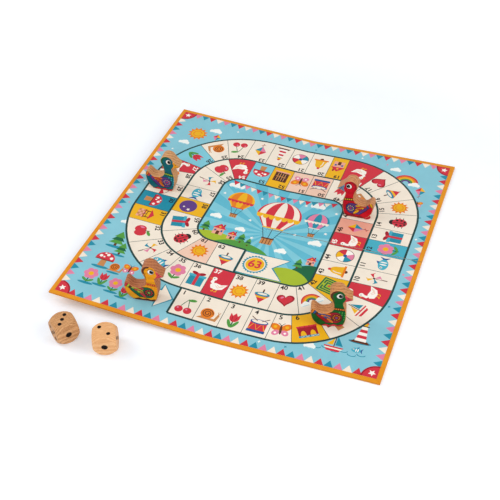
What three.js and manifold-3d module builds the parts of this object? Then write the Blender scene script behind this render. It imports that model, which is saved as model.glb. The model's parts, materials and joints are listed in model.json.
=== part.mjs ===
import * as THREE from 'three';
import { mergeVertices } from 'three/addons/utils/BufferGeometryUtils.js';
import Module from 'manifold-3d';

// Game of the goose: a board of four hinged quarters lies open on a table, with a slit along the right half
// of its cross line. Four wooden goose pawns stand on it and two wooden dice lie in front of it.
// Millimetres, +Z up, +X to the right and +Y away from the players. The frame's origin is on the table,
// under the middle of the whole set.

const degrees = THREE.MathUtils.degToRad;
const mix = THREE.MathUtils.lerp;

// Board
const panelSide = 210; // from the fold line to the outer edge of a quarter
const coreThickness = 2; // greyboard
const paperThickness = 0.25; // the printed sheet, and the backing sheet
const glueLine = 0.1; // between a sheet and what it is glued to
const borderWidth = 5.5; // backing turned in over the outer edges
const foldGap = 1.6; // bare of greyboard, so that the sheets can bend
const creaseGap = 0.3; // the sheets meet here, each cut back from the line that they bend on
const slitGap = 1; // through all layers, between the two right quarters

// How far the middle fold still springs up from flat: the left half rises from the right half
const middleFold = degrees(4.2);

// Goose pawn, seen from its right side: heights above its base, reaches forward from its base's front end
const gooseThickness = 15; // of the plank
const gooseEdgeEase = 0.8; // sanded edge
const standClearance = 0.3; // between a pawn and the board that carries it
const baseLength = 21;
const breastReach = 5.5;
const breastHeight = 21;
const throatReach = 2;
const throatHeight = 39.5;
const beakReach = 12.5;
const beakTipHeight = 45;
const beakTipDepth = 2; // blunt end of the beak
const headRadius = 9.2;
const headReach = -5;
const headHeight = 50.5;
const neckBackReach = -9.5;
const neckBackHeight = 32;
const saddleReach = -23;
const saddleHeight = 21.5;
const tailReach = -36.5;
const tailTipHeight = 22;
const tailCrownReach = -33.5;
const tailCrownHeight = 28.5;
const browAngle = degrees(20); // where the beak leaves the head
const napeAngle = degrees(205); // where the neck leaves the head

// Where each pawn stands: the front end of its base on its near side, from its quarter's outer edges,
// and the way it faces, anticlockwise from +X
const yellowGoose = { fromSide: 128, fromEnd: 32.5, facing: degrees(12) };
const tealGoose = { fromSide: 62, fromEnd: 188, facing: degrees(6) };
const redGoose = { fromSide: 117, fromEnd: 151.5, facing: degrees(181) };
const greenGoose = { fromSide: 65.5, fromEnd: 70, facing: degrees(15) };

// Dice
const dieSide = 28;
const dieRoundness = 19.4; // radius of the ball that rounds the corners
const pipDiameter = 4.8;
const acePipDiameter = 7.6; // the lone pip of the one is larger
const pipDepth = 1;
const pipPitch = 5.6; // between neighbouring pips, along the die's edges
const diceFromFront = 45; // die centres, out from the board's front edge
const leftDieFromSide = 46.5; // in from the board's left edge
const rightDieFromSide = 101.5;
const leftDieTurn = degrees(53);
const rightDieTurn = degrees(23);

const boardThickness = coreThickness + 2 * (paperThickness + glueLine);

const wasm = await Module();
wasm.setup();

function toSolid(geometry) {
  const bare = geometry.clone();
  bare.deleteAttribute('normal');
  bare.deleteAttribute('uv');
  const merged = mergeVertices(bare);
  return new wasm.Manifold(new wasm.Mesh({
    numProp: 3,
    vertProperties: new Float32Array(merged.attributes.position.array),
    triVerts: new Uint32Array(merged.index.array),
  }));
}

function toGeometry(solid) {
  const mesh = solid.getMesh();
  const geometry = new THREE.BufferGeometry();
  geometry.setAttribute('position', new THREE.BufferAttribute(mesh.vertProperties, 3));
  geometry.setIndex(new THREE.BufferAttribute(mesh.triVerts, 1));
  geometry.computeVertexNormals();
  return geometry;
}

function piece(name, geometry, color, roughness) {
  const material = new THREE.MeshStandardMaterial({ color, roughness, metalness: 0 });
  const mesh = new THREE.Mesh(geometry, material);
  mesh.name = name;
  return mesh;
}

// One quarter of the board. Its frame has the two lines across the board as axes, and the printed face at
// z = 0. side is -1 for left and 1 for right, end is -1 for front and 1 for back.
function makeQuarter(name, side, end) {
  // A layer that starts some way from each of the two lines and stops some way in from both outer edges
  function layer(fromSideLine, fromEndLine, inset, bottom, top) {
    const length = panelSide - inset - fromSideLine;
    const width = panelSide - inset - fromEndLine;
    const box = new THREE.BoxGeometry(length, width, top - bottom);
    const middleX = fromSideLine + length / 2;
    const middleY = fromEndLine + width / 2;
    return box.translate(side * middleX, end * middleY, (bottom + top) / 2);
  }
  const slit = side > 0;
  const sheetX = creaseGap / 2;
  const sheetY = (slit ? slitGap : creaseGap) / 2;
  const coreX = foldGap / 2;
  const coreY = (slit ? slitGap : foldGap) / 2;
  const underFace = -boardThickness;
  const coreTop = -paperThickness - glueLine;

  const core = layer(coreX, coreY, paperThickness + glueLine, coreTop - coreThickness, coreTop);

  // The backing goes round the two outer edges and comes back over the top as the border
  const wrapped = toSolid(layer(sheetX, sheetY, 0, underFace, 0));
  const pocketBottom = underFace + paperThickness;
  const pocket = layer(-panelSide, -panelSide, paperThickness, pocketBottom, -paperThickness);
  const opening = layer(-panelSide, -panelSide, borderWidth, coreTop, boardThickness);
  const backing = toGeometry(wrapped.subtract(toSolid(pocket)).subtract(toSolid(opening)));

  const sheet = layer(sheetX, sheetY, borderWidth + glueLine, -paperThickness, 0);

  const quarter = new THREE.Group();
  quarter.add(piece(`${name}_core`, core, 0x9a9187, 0.9));
  quarter.add(piece(`${name}_backing`, backing, 0xf09a1e, 0.6));
  quarter.add(piece(`${name}_printed_sheet`, sheet, 0x8fd0e0, 0.5));
  return quarter;
}

function onHead(angle) {
  return [headReach + headRadius * Math.cos(angle), headHeight + headRadius * Math.sin(angle)];
}

// Side view of the goose, facing +X, with the front end of its base at the origin
function gooseOutline() {
  const [browReach, browHeight] = onHead(browAngle);
  const [napeReach, napeHeight] = onHead(napeAngle);
  const beakTop = beakTipHeight + beakTipDepth / 2;
  const beakBottom = beakTipHeight - beakTipDepth / 2;
  const shape = new THREE.Shape();
  shape.moveTo(-baseLength, 0);
  shape.lineTo(0, 0);
  // Breast and throat
  shape.bezierCurveTo(0.7 * breastReach, 0.1 * breastHeight,
    breastReach, 0.55 * breastHeight, breastReach, breastHeight);
  shape.bezierCurveTo(breastReach, mix(breastHeight, throatHeight, 0.4),
    throatReach, mix(breastHeight, throatHeight, 0.6), throatReach, throatHeight);
  // Beak
  shape.quadraticCurveTo(mix(throatReach, beakReach, 0.5), mix(throatHeight, beakBottom, 0.6),
    beakReach, beakBottom);
  shape.lineTo(beakReach, beakTop);
  shape.quadraticCurveTo(mix(browReach, beakReach, 0.5), mix(browHeight, beakTop, 0.7),
    browReach, browHeight);
  // Head and nape
  shape.absarc(headReach, headHeight, headRadius, browAngle, napeAngle, false);
  shape.bezierCurveTo(mix(napeReach, neckBackReach, 0.6), mix(napeHeight, neckBackHeight, 0.3),
    neckBackReach, mix(napeHeight, neckBackHeight, 0.6), neckBackReach, neckBackHeight);
  // Back, rising to the tail
  shape.bezierCurveTo(neckBackReach, mix(neckBackHeight, saddleHeight, 0.6),
    mix(neckBackReach, saddleReach, 0.4), saddleHeight, saddleReach, saddleHeight);
  shape.bezierCurveTo(mix(saddleReach, tailCrownReach, 0.5), saddleHeight,
    mix(saddleReach, tailCrownReach, 0.6), tailCrownHeight, tailCrownReach, tailCrownHeight);
  shape.quadraticCurveTo(tailReach, tailCrownHeight, tailReach, tailTipHeight);
  // Underside of the tail
  shape.bezierCurveTo(tailReach, 0.5 * tailTipHeight, mix(tailReach, -baseLength, 0.4), 0, -baseLength, 0);
  return shape;
}

// The plank stands on z = 0 with its near face on y = 0 and its thickness towards +Y
function makeGoose(name, color) {
  const plank = new THREE.ExtrudeGeometry(gooseOutline(), {
    depth: gooseThickness - 2 * gooseEdgeEase,
    curveSegments: 6,
    bevelEnabled: true,
    bevelThickness: gooseEdgeEase,
    bevelSize: gooseEdgeEase,
    bevelOffset: -gooseEdgeEase,
    bevelSegments: 2,
  });
  plank.rotateX(Math.PI / 2);
  plank.translate(0, gooseThickness - gooseEdgeEase, 0);
  return piece(name, plank, color, 0.5);
}

// Stands a goose on a quarter, whose printed face is z = 0
function standGoose(goose, quarter, side, end, place) {
  const stand = new THREE.Group();
  stand.position.set(side * (panelSide - place.fromSide), end * (panelSide - place.fromEnd), standClearance);
  stand.rotation.z = place.facing;
  // A goose that faces left turns its other side to the front of the board
  const facesLeft = Math.cos(place.facing) < 0;
  goose.position.y = facesLeft ? -gooseThickness : 0;
  stand.add(goose);
  quarter.add(stand);
}

// Pips of each value, in steps of the pip pitch
const ace = [[0, 0]];
const deuce = [[-1, 1], [1, -1]];
const trey = [[-1, -1], [0, 0], [1, 1]];
const four = [[-1, -1], [-1, 1], [1, -1], [1, 1]];
const five = [...four, ...ace];
const six = [...four, [-1, 0], [1, 0]];

// faces holds the pips on each of the six sides
function makeDie(name, color, faces) {
  const ball = toSolid(new THREE.SphereGeometry(dieRoundness, 40, 20));
  let die = toSolid(new THREE.BoxGeometry(dieSide, dieSide, dieSide)).intersect(ball);
  const quarterTurn = Math.PI / 2;
  const sides = [
    [faces.top, new THREE.Matrix4()],
    [faces.bottom, new THREE.Matrix4().makeRotationX(2 * quarterTurn)],
    [faces.right, new THREE.Matrix4().makeRotationY(quarterTurn)],
    [faces.left, new THREE.Matrix4().makeRotationY(-quarterTurn)],
    [faces.back, new THREE.Matrix4().makeRotationX(-quarterTurn)],
    [faces.front, new THREE.Matrix4().makeRotationX(quarterTurn)],
  ];
  for (const [pips, turn] of sides) {
    const pipRadius = (pips === ace ? acePipDiameter : pipDiameter) / 2;
    const drillRadius = (pipRadius ** 2 + pipDepth ** 2) / (2 * pipDepth);
    for (const [across, up] of pips) {
      const drill = new THREE.SphereGeometry(drillRadius, 12, 8);
      drill.translate(across * pipPitch, up * pipPitch, dieSide / 2 + drillRadius - pipDepth);
      drill.applyMatrix4(turn);
      die = die.subtract(toSolid(drill));
    }
  }
  return piece(name, toGeometry(die), color, 0.55);
}

function layDie(die, fromSide, turn) {
  die.position.set(fromSide - panelSide, -panelSide - diceFromFront, dieSide / 2);
  die.rotation.z = turn;
  return die;
}

const frontRight = makeQuarter('front_right', 1, -1);
standGoose(makeGoose('green_goose', 0x0b6b33), frontRight, 1, -1, greenGoose);

const frontLeft = makeQuarter('front_left', -1, -1);
standGoose(makeGoose('yellow_goose', 0xf0a818), frontLeft, -1, -1, yellowGoose);

const backLeft = makeQuarter('back_left', -1, 1);
standGoose(makeGoose('teal_goose', 0x0f7a8a), backLeft, -1, 1, tealGoose);

const backRight = makeQuarter('back_right', 1, 1);
standGoose(makeGoose('red_goose', 0xc8102e), backRight, 1, 1, redGoose);

// The right half lies flat on the table, and the left half rises from the middle fold
const rightHalf = new THREE.Group();
rightHalf.position.z = boardThickness;
rightHalf.add(frontRight, backRight);

const leftHalf = new THREE.Group();
leftHalf.position.z = boardThickness;
leftHalf.rotation.y = middleFold;
leftHalf.add(frontLeft, backLeft);

const leftDieFaces = { top: trey, bottom: four, right: deuce, left: five, back: six, front: ace };
const rightDieFaces = { top: deuce, bottom: five, right: trey, left: four, back: six, front: ace };
const leftDie = makeDie('left_die', 0xc89a63, leftDieFaces);
const rightDie = makeDie('right_die', 0xe0b888, rightDieFaces);

const gameSet = new THREE.Group();
gameSet.add(rightHalf, leftHalf);
gameSet.add(layDie(leftDie, leftDieFromSide, leftDieTurn));
gameSet.add(layDie(rightDie, rightDieFromSide, rightDieTurn));

// The origin is under the middle of the set
gameSet.updateMatrixWorld(true);
const middle = new THREE.Box3().setFromObject(gameSet, true).getCenter(new THREE.Vector3());
gameSet.position.set(-middle.x, -middle.y, 0);

export default gameSet;
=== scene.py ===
import json
import math

import bpy
from mathutils import Matrix, Vector
from mathutils.geometry import delaunay_2d_cdt, interpolate_bezier


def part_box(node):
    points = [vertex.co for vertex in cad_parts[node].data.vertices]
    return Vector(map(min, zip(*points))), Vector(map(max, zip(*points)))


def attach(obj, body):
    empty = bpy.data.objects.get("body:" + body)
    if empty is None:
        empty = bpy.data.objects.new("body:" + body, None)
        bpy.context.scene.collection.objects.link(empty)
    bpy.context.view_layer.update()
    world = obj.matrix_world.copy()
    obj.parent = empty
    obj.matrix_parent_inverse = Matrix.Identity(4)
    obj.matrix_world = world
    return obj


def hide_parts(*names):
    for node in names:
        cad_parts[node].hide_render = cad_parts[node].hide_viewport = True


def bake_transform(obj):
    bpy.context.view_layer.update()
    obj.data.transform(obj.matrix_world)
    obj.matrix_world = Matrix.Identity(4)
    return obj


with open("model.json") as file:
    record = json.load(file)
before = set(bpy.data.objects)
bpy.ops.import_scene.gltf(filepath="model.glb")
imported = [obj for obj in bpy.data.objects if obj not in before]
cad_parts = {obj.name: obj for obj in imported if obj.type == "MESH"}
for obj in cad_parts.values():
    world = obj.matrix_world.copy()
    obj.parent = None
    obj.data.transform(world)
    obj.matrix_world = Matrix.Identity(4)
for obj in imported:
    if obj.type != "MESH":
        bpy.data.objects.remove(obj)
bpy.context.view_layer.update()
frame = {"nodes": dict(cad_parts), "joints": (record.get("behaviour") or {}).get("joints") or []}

# A folding board for the game of the goose, with four goose pawns and two dice. The print and the pawns'
# paint are drawn flat in millimetres, cut into one flat mesh with a colour on every face, and then put on
# the quarters and planks of the CAD frame.

MM = 0.001
joints = {joint["name"]: joint for joint in frame["joints"]}

# The board in the frame: its fold lines cross at board_middle, on the printed face
fold_line = Vector(joints["front_fold"]["pos_m"])
cross_line = Vector(joints["side_fold"]["pos_m"])
board_middle = Vector((fold_line.x, cross_line.y, fold_line.z))
pawn_on = {"front_left": "yellow", "front_right": "green", "back_left": "teal", "back_right": "red"}


def from_middle(node, corner, axis):
    """How far a corner of a node's box lies from the board's middle along one axis, in millimetres."""
    return abs(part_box(node)[corner][axis] - board_middle[axis]) / MM


panel_side = from_middle("front_right_backing", 1, 0)
sheet_edge = from_middle("front_right_printed_sheet", 1, 0)
sheet_thickness = from_middle("front_right_printed_sheet", 0, 2)
board_thickness = from_middle("front_right_backing", 0, 2)
fold_half = from_middle("front_right_core", 0, 0)
crease_half = from_middle("front_right_backing", 0, 0)
slit_half = from_middle("front_right_printed_sheet", 1, 1)


def quarter_frame(quarter):
    """Takes millimetres on the flat board to the frame, for one quarter. Its pawn lifts along its normal."""
    up = Vector(joints[pawn_on[quarter] + "_goose_lift"]["axis"]).normalized()
    along = Vector((0, 1, 0))
    turn = Matrix((along.cross(up), along, up)).transposed().to_4x4()
    return Matrix.Translation(board_middle) @ turn @ Matrix.Scale(MM, 4)


quarter_frames = {quarter: quarter_frame(quarter) for quarter in pawn_on}


def on_board(x, y, z=0):
    """A point of the flat board, in millimetres, as it lies on its quarter."""
    quarter = ("front" if y < 0 else "back") + ("_left" if x < 0 else "_right")
    return quarter_frames[quarter] @ Vector((x, y, z))


# Inks and paints, as they look in plain light
inks = {
    "sky": "86C3D2", "field": "5FB6CC", "ray": "7EC6D6", "cloud": "F1F3EE", "cream": "F1E5D4",
    "white": "F8F3EA", "red": "CD303F", "deep_red": "9E1626", "salmon": "E9A48E", "blush": "EFC8B2",
    "pink": "DF7F9F", "yellow": "EBB11A", "orange": "E37B1C", "teal": "1F8AA2", "pale_teal": "45AABF",
    "green": "4F953E", "dark_green": "14603B", "lime": "A3B82E", "blue": "23528F", "violet": "5C3A80",
    "brown": "5A2D17", "tan": "C4854E", "rail": "1D403E", "ink": "1E1A17", "pupil": "0A0808",
    "paper": "EFE9DF",
    "goose_yellow": "EC9C05", "goose_teal": "056470", "goose_red": "CC0922", "goose_green": "045A20",
    "beak_red": "D8424C", "beak_yellow": "F0A01E", "beak_grey": "6789A3",
}


def linear(code):
    """A colour written as it looks, for a shader."""
    shares = [int(code[place:place + 2], 16) / 255 for place in (0, 2, 4)]
    return [share / 12.92 if share < 0.04045 else ((share + 0.055) / 1.055) ** 2.4 for share in shares]


# Modelling helpers

def select_only(piece):
    """Makes a piece the one that the next operators work on."""
    bpy.ops.object.select_all(action="DESELECT")
    piece.select_set(True)
    bpy.context.view_layer.objects.active = piece


def new_piece(name, mesh):
    """Puts a mesh in the scene under a name."""
    piece = bpy.data.objects.new(name, mesh)
    bpy.context.scene.collection.objects.link(piece)
    return piece


def apply_modifiers(piece):
    """Applies every modifier of a piece, in order."""
    select_only(piece)
    for modifier in list(piece.modifiers):
        bpy.ops.object.modifier_apply(modifier=modifier.name)


def settle_place(piece):
    """Puts a piece's place into its mesh."""
    select_only(piece)
    bpy.ops.object.transform_apply(location=True, rotation=True, scale=True)


def face_outwards(piece):
    """Merges doubled points and turns every face outwards."""
    select_only(piece)
    bpy.ops.object.mode_set(mode="EDIT")
    bpy.ops.mesh.select_all(action="SELECT")
    bpy.ops.mesh.remove_doubles(threshold=1e-7)
    bpy.ops.mesh.normals_make_consistent(inside=False)
    bpy.ops.object.mode_set(mode="OBJECT")


def smooth(piece, degrees=32):
    """Smooth shading that keeps edges sharper than an angle."""
    select_only(piece)
    bpy.ops.object.shade_smooth_by_angle(angle=math.radians(degrees))


def carve(piece, tool, operation):
    """Cuts a piece with a tool that is then thrown away."""
    modifier = piece.modifiers.new("carve", "BOOLEAN")
    modifier.operation = operation
    modifier.solver = "EXACT"
    modifier.object = tool
    apply_modifiers(piece)
    bpy.data.objects.remove(tool)


# Node groups shared by the materials

def node_group(name, inputs, outputs):
    """An empty shader group, with its input and output nodes."""
    group = bpy.data.node_groups.new(name, "ShaderNodeTree")
    for label, kind, value in inputs:
        socket = group.interface.new_socket(name=label, in_out="INPUT", socket_type=kind)
        if value is not None:
            socket.default_value = value
    for label, kind in outputs:
        group.interface.new_socket(name=label, in_out="OUTPUT", socket_type=kind)
    return group, group.nodes.new("NodeGroupInput"), group.nodes.new("NodeGroupOutput")


def noise(tree, vector, scale, detail=3.0, rough=0.55):
    """A noise texture, and its value socket."""
    node = tree.nodes.new("ShaderNodeTexNoise")
    node.inputs["Detail"].default_value = detail
    node.inputs["Roughness"].default_value = rough
    node.inputs["Scale"].default_value = scale
    tree.links.new(vector, node.inputs["Vector"])
    return node.outputs["Fac"]


def spread(tree, value, low, high, from_low=0.3, from_high=0.7):
    """Stretches a value to a new range."""
    node = tree.nodes.new("ShaderNodeMapRange")
    node.inputs["From Min"].default_value = from_low
    node.inputs["From Max"].default_value = from_high
    node.inputs["To Min"].default_value = low
    node.inputs["To Max"].default_value = high
    tree.links.new(value, node.inputs["Value"])
    return node.outputs["Result"]


def combined(tree, operation, first, second):
    """Two values, or a value and a number, by a math node."""
    node = tree.nodes.new("ShaderNodeMath")
    node.operation = operation
    for socket, value in zip(node.inputs, (first, second)):
        if isinstance(value, (int, float)):
            socket.default_value = value
        else:
            tree.links.new(value, socket)
    return node.outputs["Value"]


def mixed(tree, share, first, second, kind="MIX"):
    """Two colours, mixed by a share that is a value or a number."""
    node = tree.nodes.new("ShaderNodeMix")
    node.data_type = "RGBA"
    node.blend_type = kind
    for socket, value in ((node.inputs[0], share), (node.inputs[6], first), (node.inputs[7], second)):
        if isinstance(value, (int, float)):
            socket.default_value = value
        elif isinstance(value, (list, tuple)):
            socket.default_value = (*value, 1)
        else:
            tree.links.new(value, socket)
    return node.outputs[2]


def make_paper_grain():
    """Fibres and slow mottling of paper and board, for any size of fibre."""
    group, source, result = node_group(
        "paper grain",
        [("Vector", "NodeSocketVector", None), ("Fibre", "NodeSocketFloat", 1800.0)],
        [("Mottle", "NodeSocketFloat"), ("Height", "NodeSocketFloat")])
    fibres = noise(group, source.outputs["Vector"], 1.0, 4.0, 0.65)
    fibre_node = fibres.node
    group.links.new(source.outputs["Fibre"], fibre_node.inputs["Scale"])
    clouds = noise(group, source.outputs["Vector"], 45.0, 3.0, 0.6)
    mottle = combined(group, "ADD", combined(group, "MULTIPLY", clouds, 0.6),
                      combined(group, "MULTIPLY", fibres, 0.4))
    group.links.new(mottle, result.inputs["Mottle"])
    group.links.new(fibres, result.inputs["Height"])
    return group


def make_wood_grain():
    """Growth rings, fibres along X and short dark pores, in metres."""
    group, source, result = node_group(
        "wood grain",
        [("Vector", "NodeSocketVector", None), ("Rings", "NodeSocketFloat", 300.0),
         ("Ring Depth", "NodeSocketFloat", 0.4)],
        [("Grain", "NodeSocketFloat"), ("Pores", "NodeSocketFloat"), ("Height", "NodeSocketFloat")])
    stretch = group.nodes.new("ShaderNodeMapping")
    stretch.inputs["Scale"].default_value = (0.16, 1, 1)
    group.links.new(source.outputs["Vector"], stretch.inputs["Vector"])
    rings = group.nodes.new("ShaderNodeTexWave")
    rings.wave_type = "RINGS"
    rings.rings_direction = "X"
    rings.inputs["Distortion"].default_value = 5.0
    rings.inputs["Detail"].default_value = 3.0
    rings.inputs["Detail Scale"].default_value = 1.2
    group.links.new(source.outputs["Rings"], rings.inputs["Scale"])
    group.links.new(stretch.outputs["Vector"], rings.inputs["Vector"])
    fibres = spread(group, noise(group, stretch.outputs["Vector"], 1300.0, 5.0, 0.75), 0.0, 1.0)
    pores = spread(group, noise(group, stretch.outputs["Vector"], 2400.0, 2.0, 0.5), 0.0, 1.0, 0.58, 0.7)
    depth = source.outputs["Ring Depth"]
    grain = combined(group, "ADD", combined(group, "MULTIPLY", rings.outputs["Fac"], depth),
                     combined(group, "MULTIPLY", fibres, combined(group, "SUBTRACT", 1.0, depth)))
    group.links.new(grain, result.inputs["Grain"])
    group.links.new(pores, result.inputs["Pores"])
    group.links.new(combined(group, "SUBTRACT", fibres, combined(group, "MULTIPLY", pores, 0.5)),
                    result.inputs["Height"])
    return group


paper_grain = make_paper_grain()
wood_grain = make_wood_grain()


# Materials

def new_material(name, turn=0.0, middle=(0, 0, 0)):
    """A material's node tree, its shader, and Object coordinates centred and turned to suit a piece."""
    material = bpy.data.materials.new(name)
    material.use_nodes = True
    tree = material.node_tree
    shader = tree.nodes["Principled BSDF"]
    place = tree.nodes.new("ShaderNodeTexCoord")
    mapping = tree.nodes.new("ShaderNodeMapping")
    mapping.vector_type = "TEXTURE"
    mapping.inputs["Location"].default_value = middle
    mapping.inputs["Rotation"].default_value = (0, 0, turn)
    tree.links.new(place.outputs["Object"], mapping.inputs["Vector"])
    return material, tree, shader, mapping.outputs["Vector"]


def add_group(tree, group, vector, values):
    """Places a shared group in a material with its own values."""
    node = tree.nodes.new("ShaderNodeGroup")
    node.node_tree = group
    tree.links.new(vector, node.inputs["Vector"])
    for label, value in values.items():
        node.inputs[label].default_value = value
    return node


def add_bump(tree, shader, height, strength, distance):
    """Raises a shader's surface by a height value."""
    bump = tree.nodes.new("ShaderNodeBump")
    bump.inputs["Strength"].default_value = strength
    bump.inputs["Distance"].default_value = distance
    tree.links.new(height, bump.inputs["Height"])
    tree.links.new(bump.outputs["Normal"], shader.inputs["Normal"])


def drawn_colour(tree):
    """The colour that each face of a drawing carries."""
    attribute = tree.nodes.new("ShaderNodeAttribute")
    attribute.attribute_name = "drawn"
    return attribute.outputs["Color"]


def make_printed_paper():
    """Matt varnished sheet: the drawing in an uneven ink film, with fine fibres."""
    material, tree, shader, vector = new_material("printed_paper")
    grain = add_group(tree, paper_grain, vector, {"Fibre": 2200.0})
    film = spread(tree, grain.outputs["Mottle"], 0.93, 1.05)
    shade = combined(tree, "MULTIPLY", film, spread(tree, grain.outputs["Height"], 0.96, 1.03))
    tree.links.new(mixed(tree, 1.0, drawn_colour(tree), shade, "MULTIPLY"), shader.inputs["Base Color"])
    tree.links.new(spread(tree, grain.outputs["Mottle"], 0.46, 0.6), shader.inputs["Roughness"])
    shader.inputs["Specular IOR Level"].default_value = 0.18
    add_bump(tree, shader, grain.outputs["Height"], 0.25, 0.00003)
    return material


def make_plain_paper(name, light, dark, fibre, roughness):
    """Dyed paper or bare board in two tones."""
    material, tree, shader, vector = new_material(name)
    grain = add_group(tree, paper_grain, vector, {"Fibre": fibre})
    tone = spread(tree, grain.outputs["Mottle"], 0.0, 1.0)
    tree.links.new(mixed(tree, tone, linear(dark), linear(light)), shader.inputs["Base Color"])
    tree.links.new(spread(tree, grain.outputs["Height"], roughness - 0.06, roughness + 0.08),
                   shader.inputs["Roughness"])
    shader.inputs["Specular IOR Level"].default_value = 0.2
    add_bump(tree, shader, grain.outputs["Height"], 0.35, 0.00005)
    return material


def make_bare_wood(name, tones, turn, heart, rings, ring_depth):
    """Sanded beech: rings and fibres between a light and a dark tone, with short pores."""
    light, dark, pore = (linear(tone) for tone in tones)
    material, tree, shader, vector = new_material(name, turn, heart)
    grain = add_group(tree, wood_grain, vector, {"Rings": rings, "Ring Depth": ring_depth})
    tone = spread(tree, grain.outputs["Grain"], 0.0, 1.0, 0.2, 0.8)
    flecks = combined(tree, "MULTIPLY", grain.outputs["Pores"], 0.6)
    tree.links.new(mixed(tree, flecks, mixed(tree, tone, dark, light), pore), shader.inputs["Base Color"])
    tree.links.new(spread(tree, grain.outputs["Grain"], 0.62, 0.48), shader.inputs["Roughness"])
    shader.inputs["Specular IOR Level"].default_value = 0.3
    add_bump(tree, shader, grain.outputs["Height"], 0.35, 0.0001)
    return material


def make_painted_wood(name, turn, heart, rings, ring_depth):
    """Paint on a plank's side, with the grain showing faintly through it."""
    material, tree, shader, vector = new_material(name, turn, heart)
    grain = add_group(tree, wood_grain, vector, {"Rings": rings, "Ring Depth": ring_depth})
    shade = spread(tree, grain.outputs["Grain"], 0.78, 1.08, 0.2, 0.8)
    tree.links.new(mixed(tree, 1.0, drawn_colour(tree), shade, "MULTIPLY"), shader.inputs["Base Color"])
    tree.links.new(spread(tree, grain.outputs["Grain"], 0.34, 0.46), shader.inputs["Roughness"])
    shader.inputs["Specular IOR Level"].default_value = 0.16
    add_bump(tree, shader, grain.outputs["Height"], 0.25, 0.00006)
    return material


def make_pip_stain(name):
    """Dark stain in the pips, a little uneven where the wood drinks it."""
    material, tree, shader, vector = new_material(name)
    grain = add_group(tree, paper_grain, vector, {"Fibre": 1500.0})
    tone = spread(tree, grain.outputs["Mottle"], 0.0, 1.0)
    tree.links.new(mixed(tree, tone, linear("060302"), linear("180D08")), shader.inputs["Base Color"])
    tree.links.new(spread(tree, grain.outputs["Height"], 0.5, 0.75), shader.inputs["Roughness"])
    shader.inputs["Specular IOR Level"].default_value = 0.12
    add_bump(tree, shader, grain.outputs["Height"], 0.3, 0.0001)
    return material


# Drawing. A drawing is a list of (ink, outline), later ones over earlier ones, in millimetres.

def arc(x, y, across, up, start, end, step=12):
    """Points on an ellipse from one angle to another, in degrees."""
    count = max(1, math.ceil(abs(end - start) / step))
    angles = [math.radians(start + (end - start) * place / count) for place in range(count + 1)]
    return [(x + across * math.cos(angle), y + up * math.sin(angle)) for angle in angles]


def oval(across, up=None, x=0, y=0, step=12):
    """A round or oval outline."""
    return arc(x, y, across, across if up is None else up, 0, 360, step)[:-1]


def block(left, low, right, high):
    """A rectangle's outline."""
    return [(left, low), (right, low), (right, high), (left, high)]


def star(points, outer, inner, x=0, y=0, turn=90):
    """A star's outline, also for rosettes and suns."""
    outline = []
    for place in range(2 * points):
        radius = inner if place % 2 else outer
        angle = math.radians(turn + 180 * place / points)
        outline.append((x + radius * math.cos(angle), y + radius * math.sin(angle)))
    return outline


def moved(outline, x, y, turn=0, size=1, flip=1):
    """An outline turned, in degrees, resized and moved."""
    cosine, sine = math.cos(math.radians(turn)), math.sin(math.radians(turn))
    return [(x + size * (flip * u * cosine - v * sine), y + size * (flip * u * sine + v * cosine))
            for u, v in outline]


def placed(drawing, x, y, turn=0, size=1, flip=1):
    """A drawing turned, resized and moved."""
    return [(ink, moved(outline, x, y, turn, size, flip)) for ink, outline in drawing]


def area(outline):
    """Signed area, positive for an outline that runs anticlockwise."""
    pairs = zip(outline, outline[1:] + outline[:1])
    return sum(a[0] * b[1] - b[0] * a[1] for a, b in pairs) / 2


def offset_points(points, distance, closed):
    """Points moved sideways off their line, to the right of its direction, with mitred corners."""
    result = []
    last = len(points) - 1
    for place, point in enumerate(points):
        before = points[place - 1] if place > 0 or closed else point
        after = points[(place + 1) % len(points)] if place < last or closed else point
        normals = []
        for a, b in ((before, point), (point, after)):
            length = math.hypot(b[0] - a[0], b[1] - a[1])
            if length > 1e-9:
                normals.append(((b[1] - a[1]) / length, (a[0] - b[0]) / length))
        x = sum(normal[0] for normal in normals) / len(normals)
        y = sum(normal[1] for normal in normals) / len(normals)
        stretch = distance / max(x * x + y * y, 0.35)
        result.append((point[0] + x * stretch, point[1] + y * stretch))
    return result


def line(points, width):
    """A stroke of even width along open points."""
    return offset_points(points, width / 2, False) + offset_points(points, -width / 2, False)[::-1]


numeral_weight = 0.03  # how much a number's strokes are thickened, as a share of its size
numeral_steps = 4


def numeral(text, size):
    """A number as outlines of small filled faces, centred on the origin."""
    bpy.ops.object.select_all(action="DESELECT")
    bpy.ops.object.text_add()
    writing = bpy.context.object
    writing.data.body = text
    writing.data.size = size
    writing.data.offset = numeral_weight * size
    writing.data.resolution_u = numeral_steps
    writing.data.align_x = "CENTER"
    writing.data.align_y = "CENTER"
    bpy.ops.object.convert(target="MESH")
    flat = bpy.context.object
    points = [(point.co.x, point.co.y) for point in flat.data.vertices]
    faces = [[points[corner] for corner in face.vertices] for face in flat.data.polygons]
    bpy.data.objects.remove(flat)
    return faces


# Small pictures for the squares, each about 18 mm tall round its own middle

def dots(ink, radius, *spots):
    """Round dots of one ink."""
    return [(ink, oval(radius, x=x, y=y)) for x, y in spots]


def sun():
    ring = line(arc(0, 0, 3.6, 3.6, 20, 340), 0.7)
    return [("orange", star(12, 9, 6.3)), ("yellow", oval(5.6)), ("orange", ring)]


def moon():
    crescent = arc(0, 0, 8.5, 8.5, 60, 300) + arc(4.2, 0, 7.4, 7.4, 285, 75)
    return [("violet", oval(9.4)), ("cream", crescent), ("cream", star(5, 2.4, 1, 5, 2)),
            ("cream", star(5, 1.6, 0.7, 2, -4))]


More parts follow.
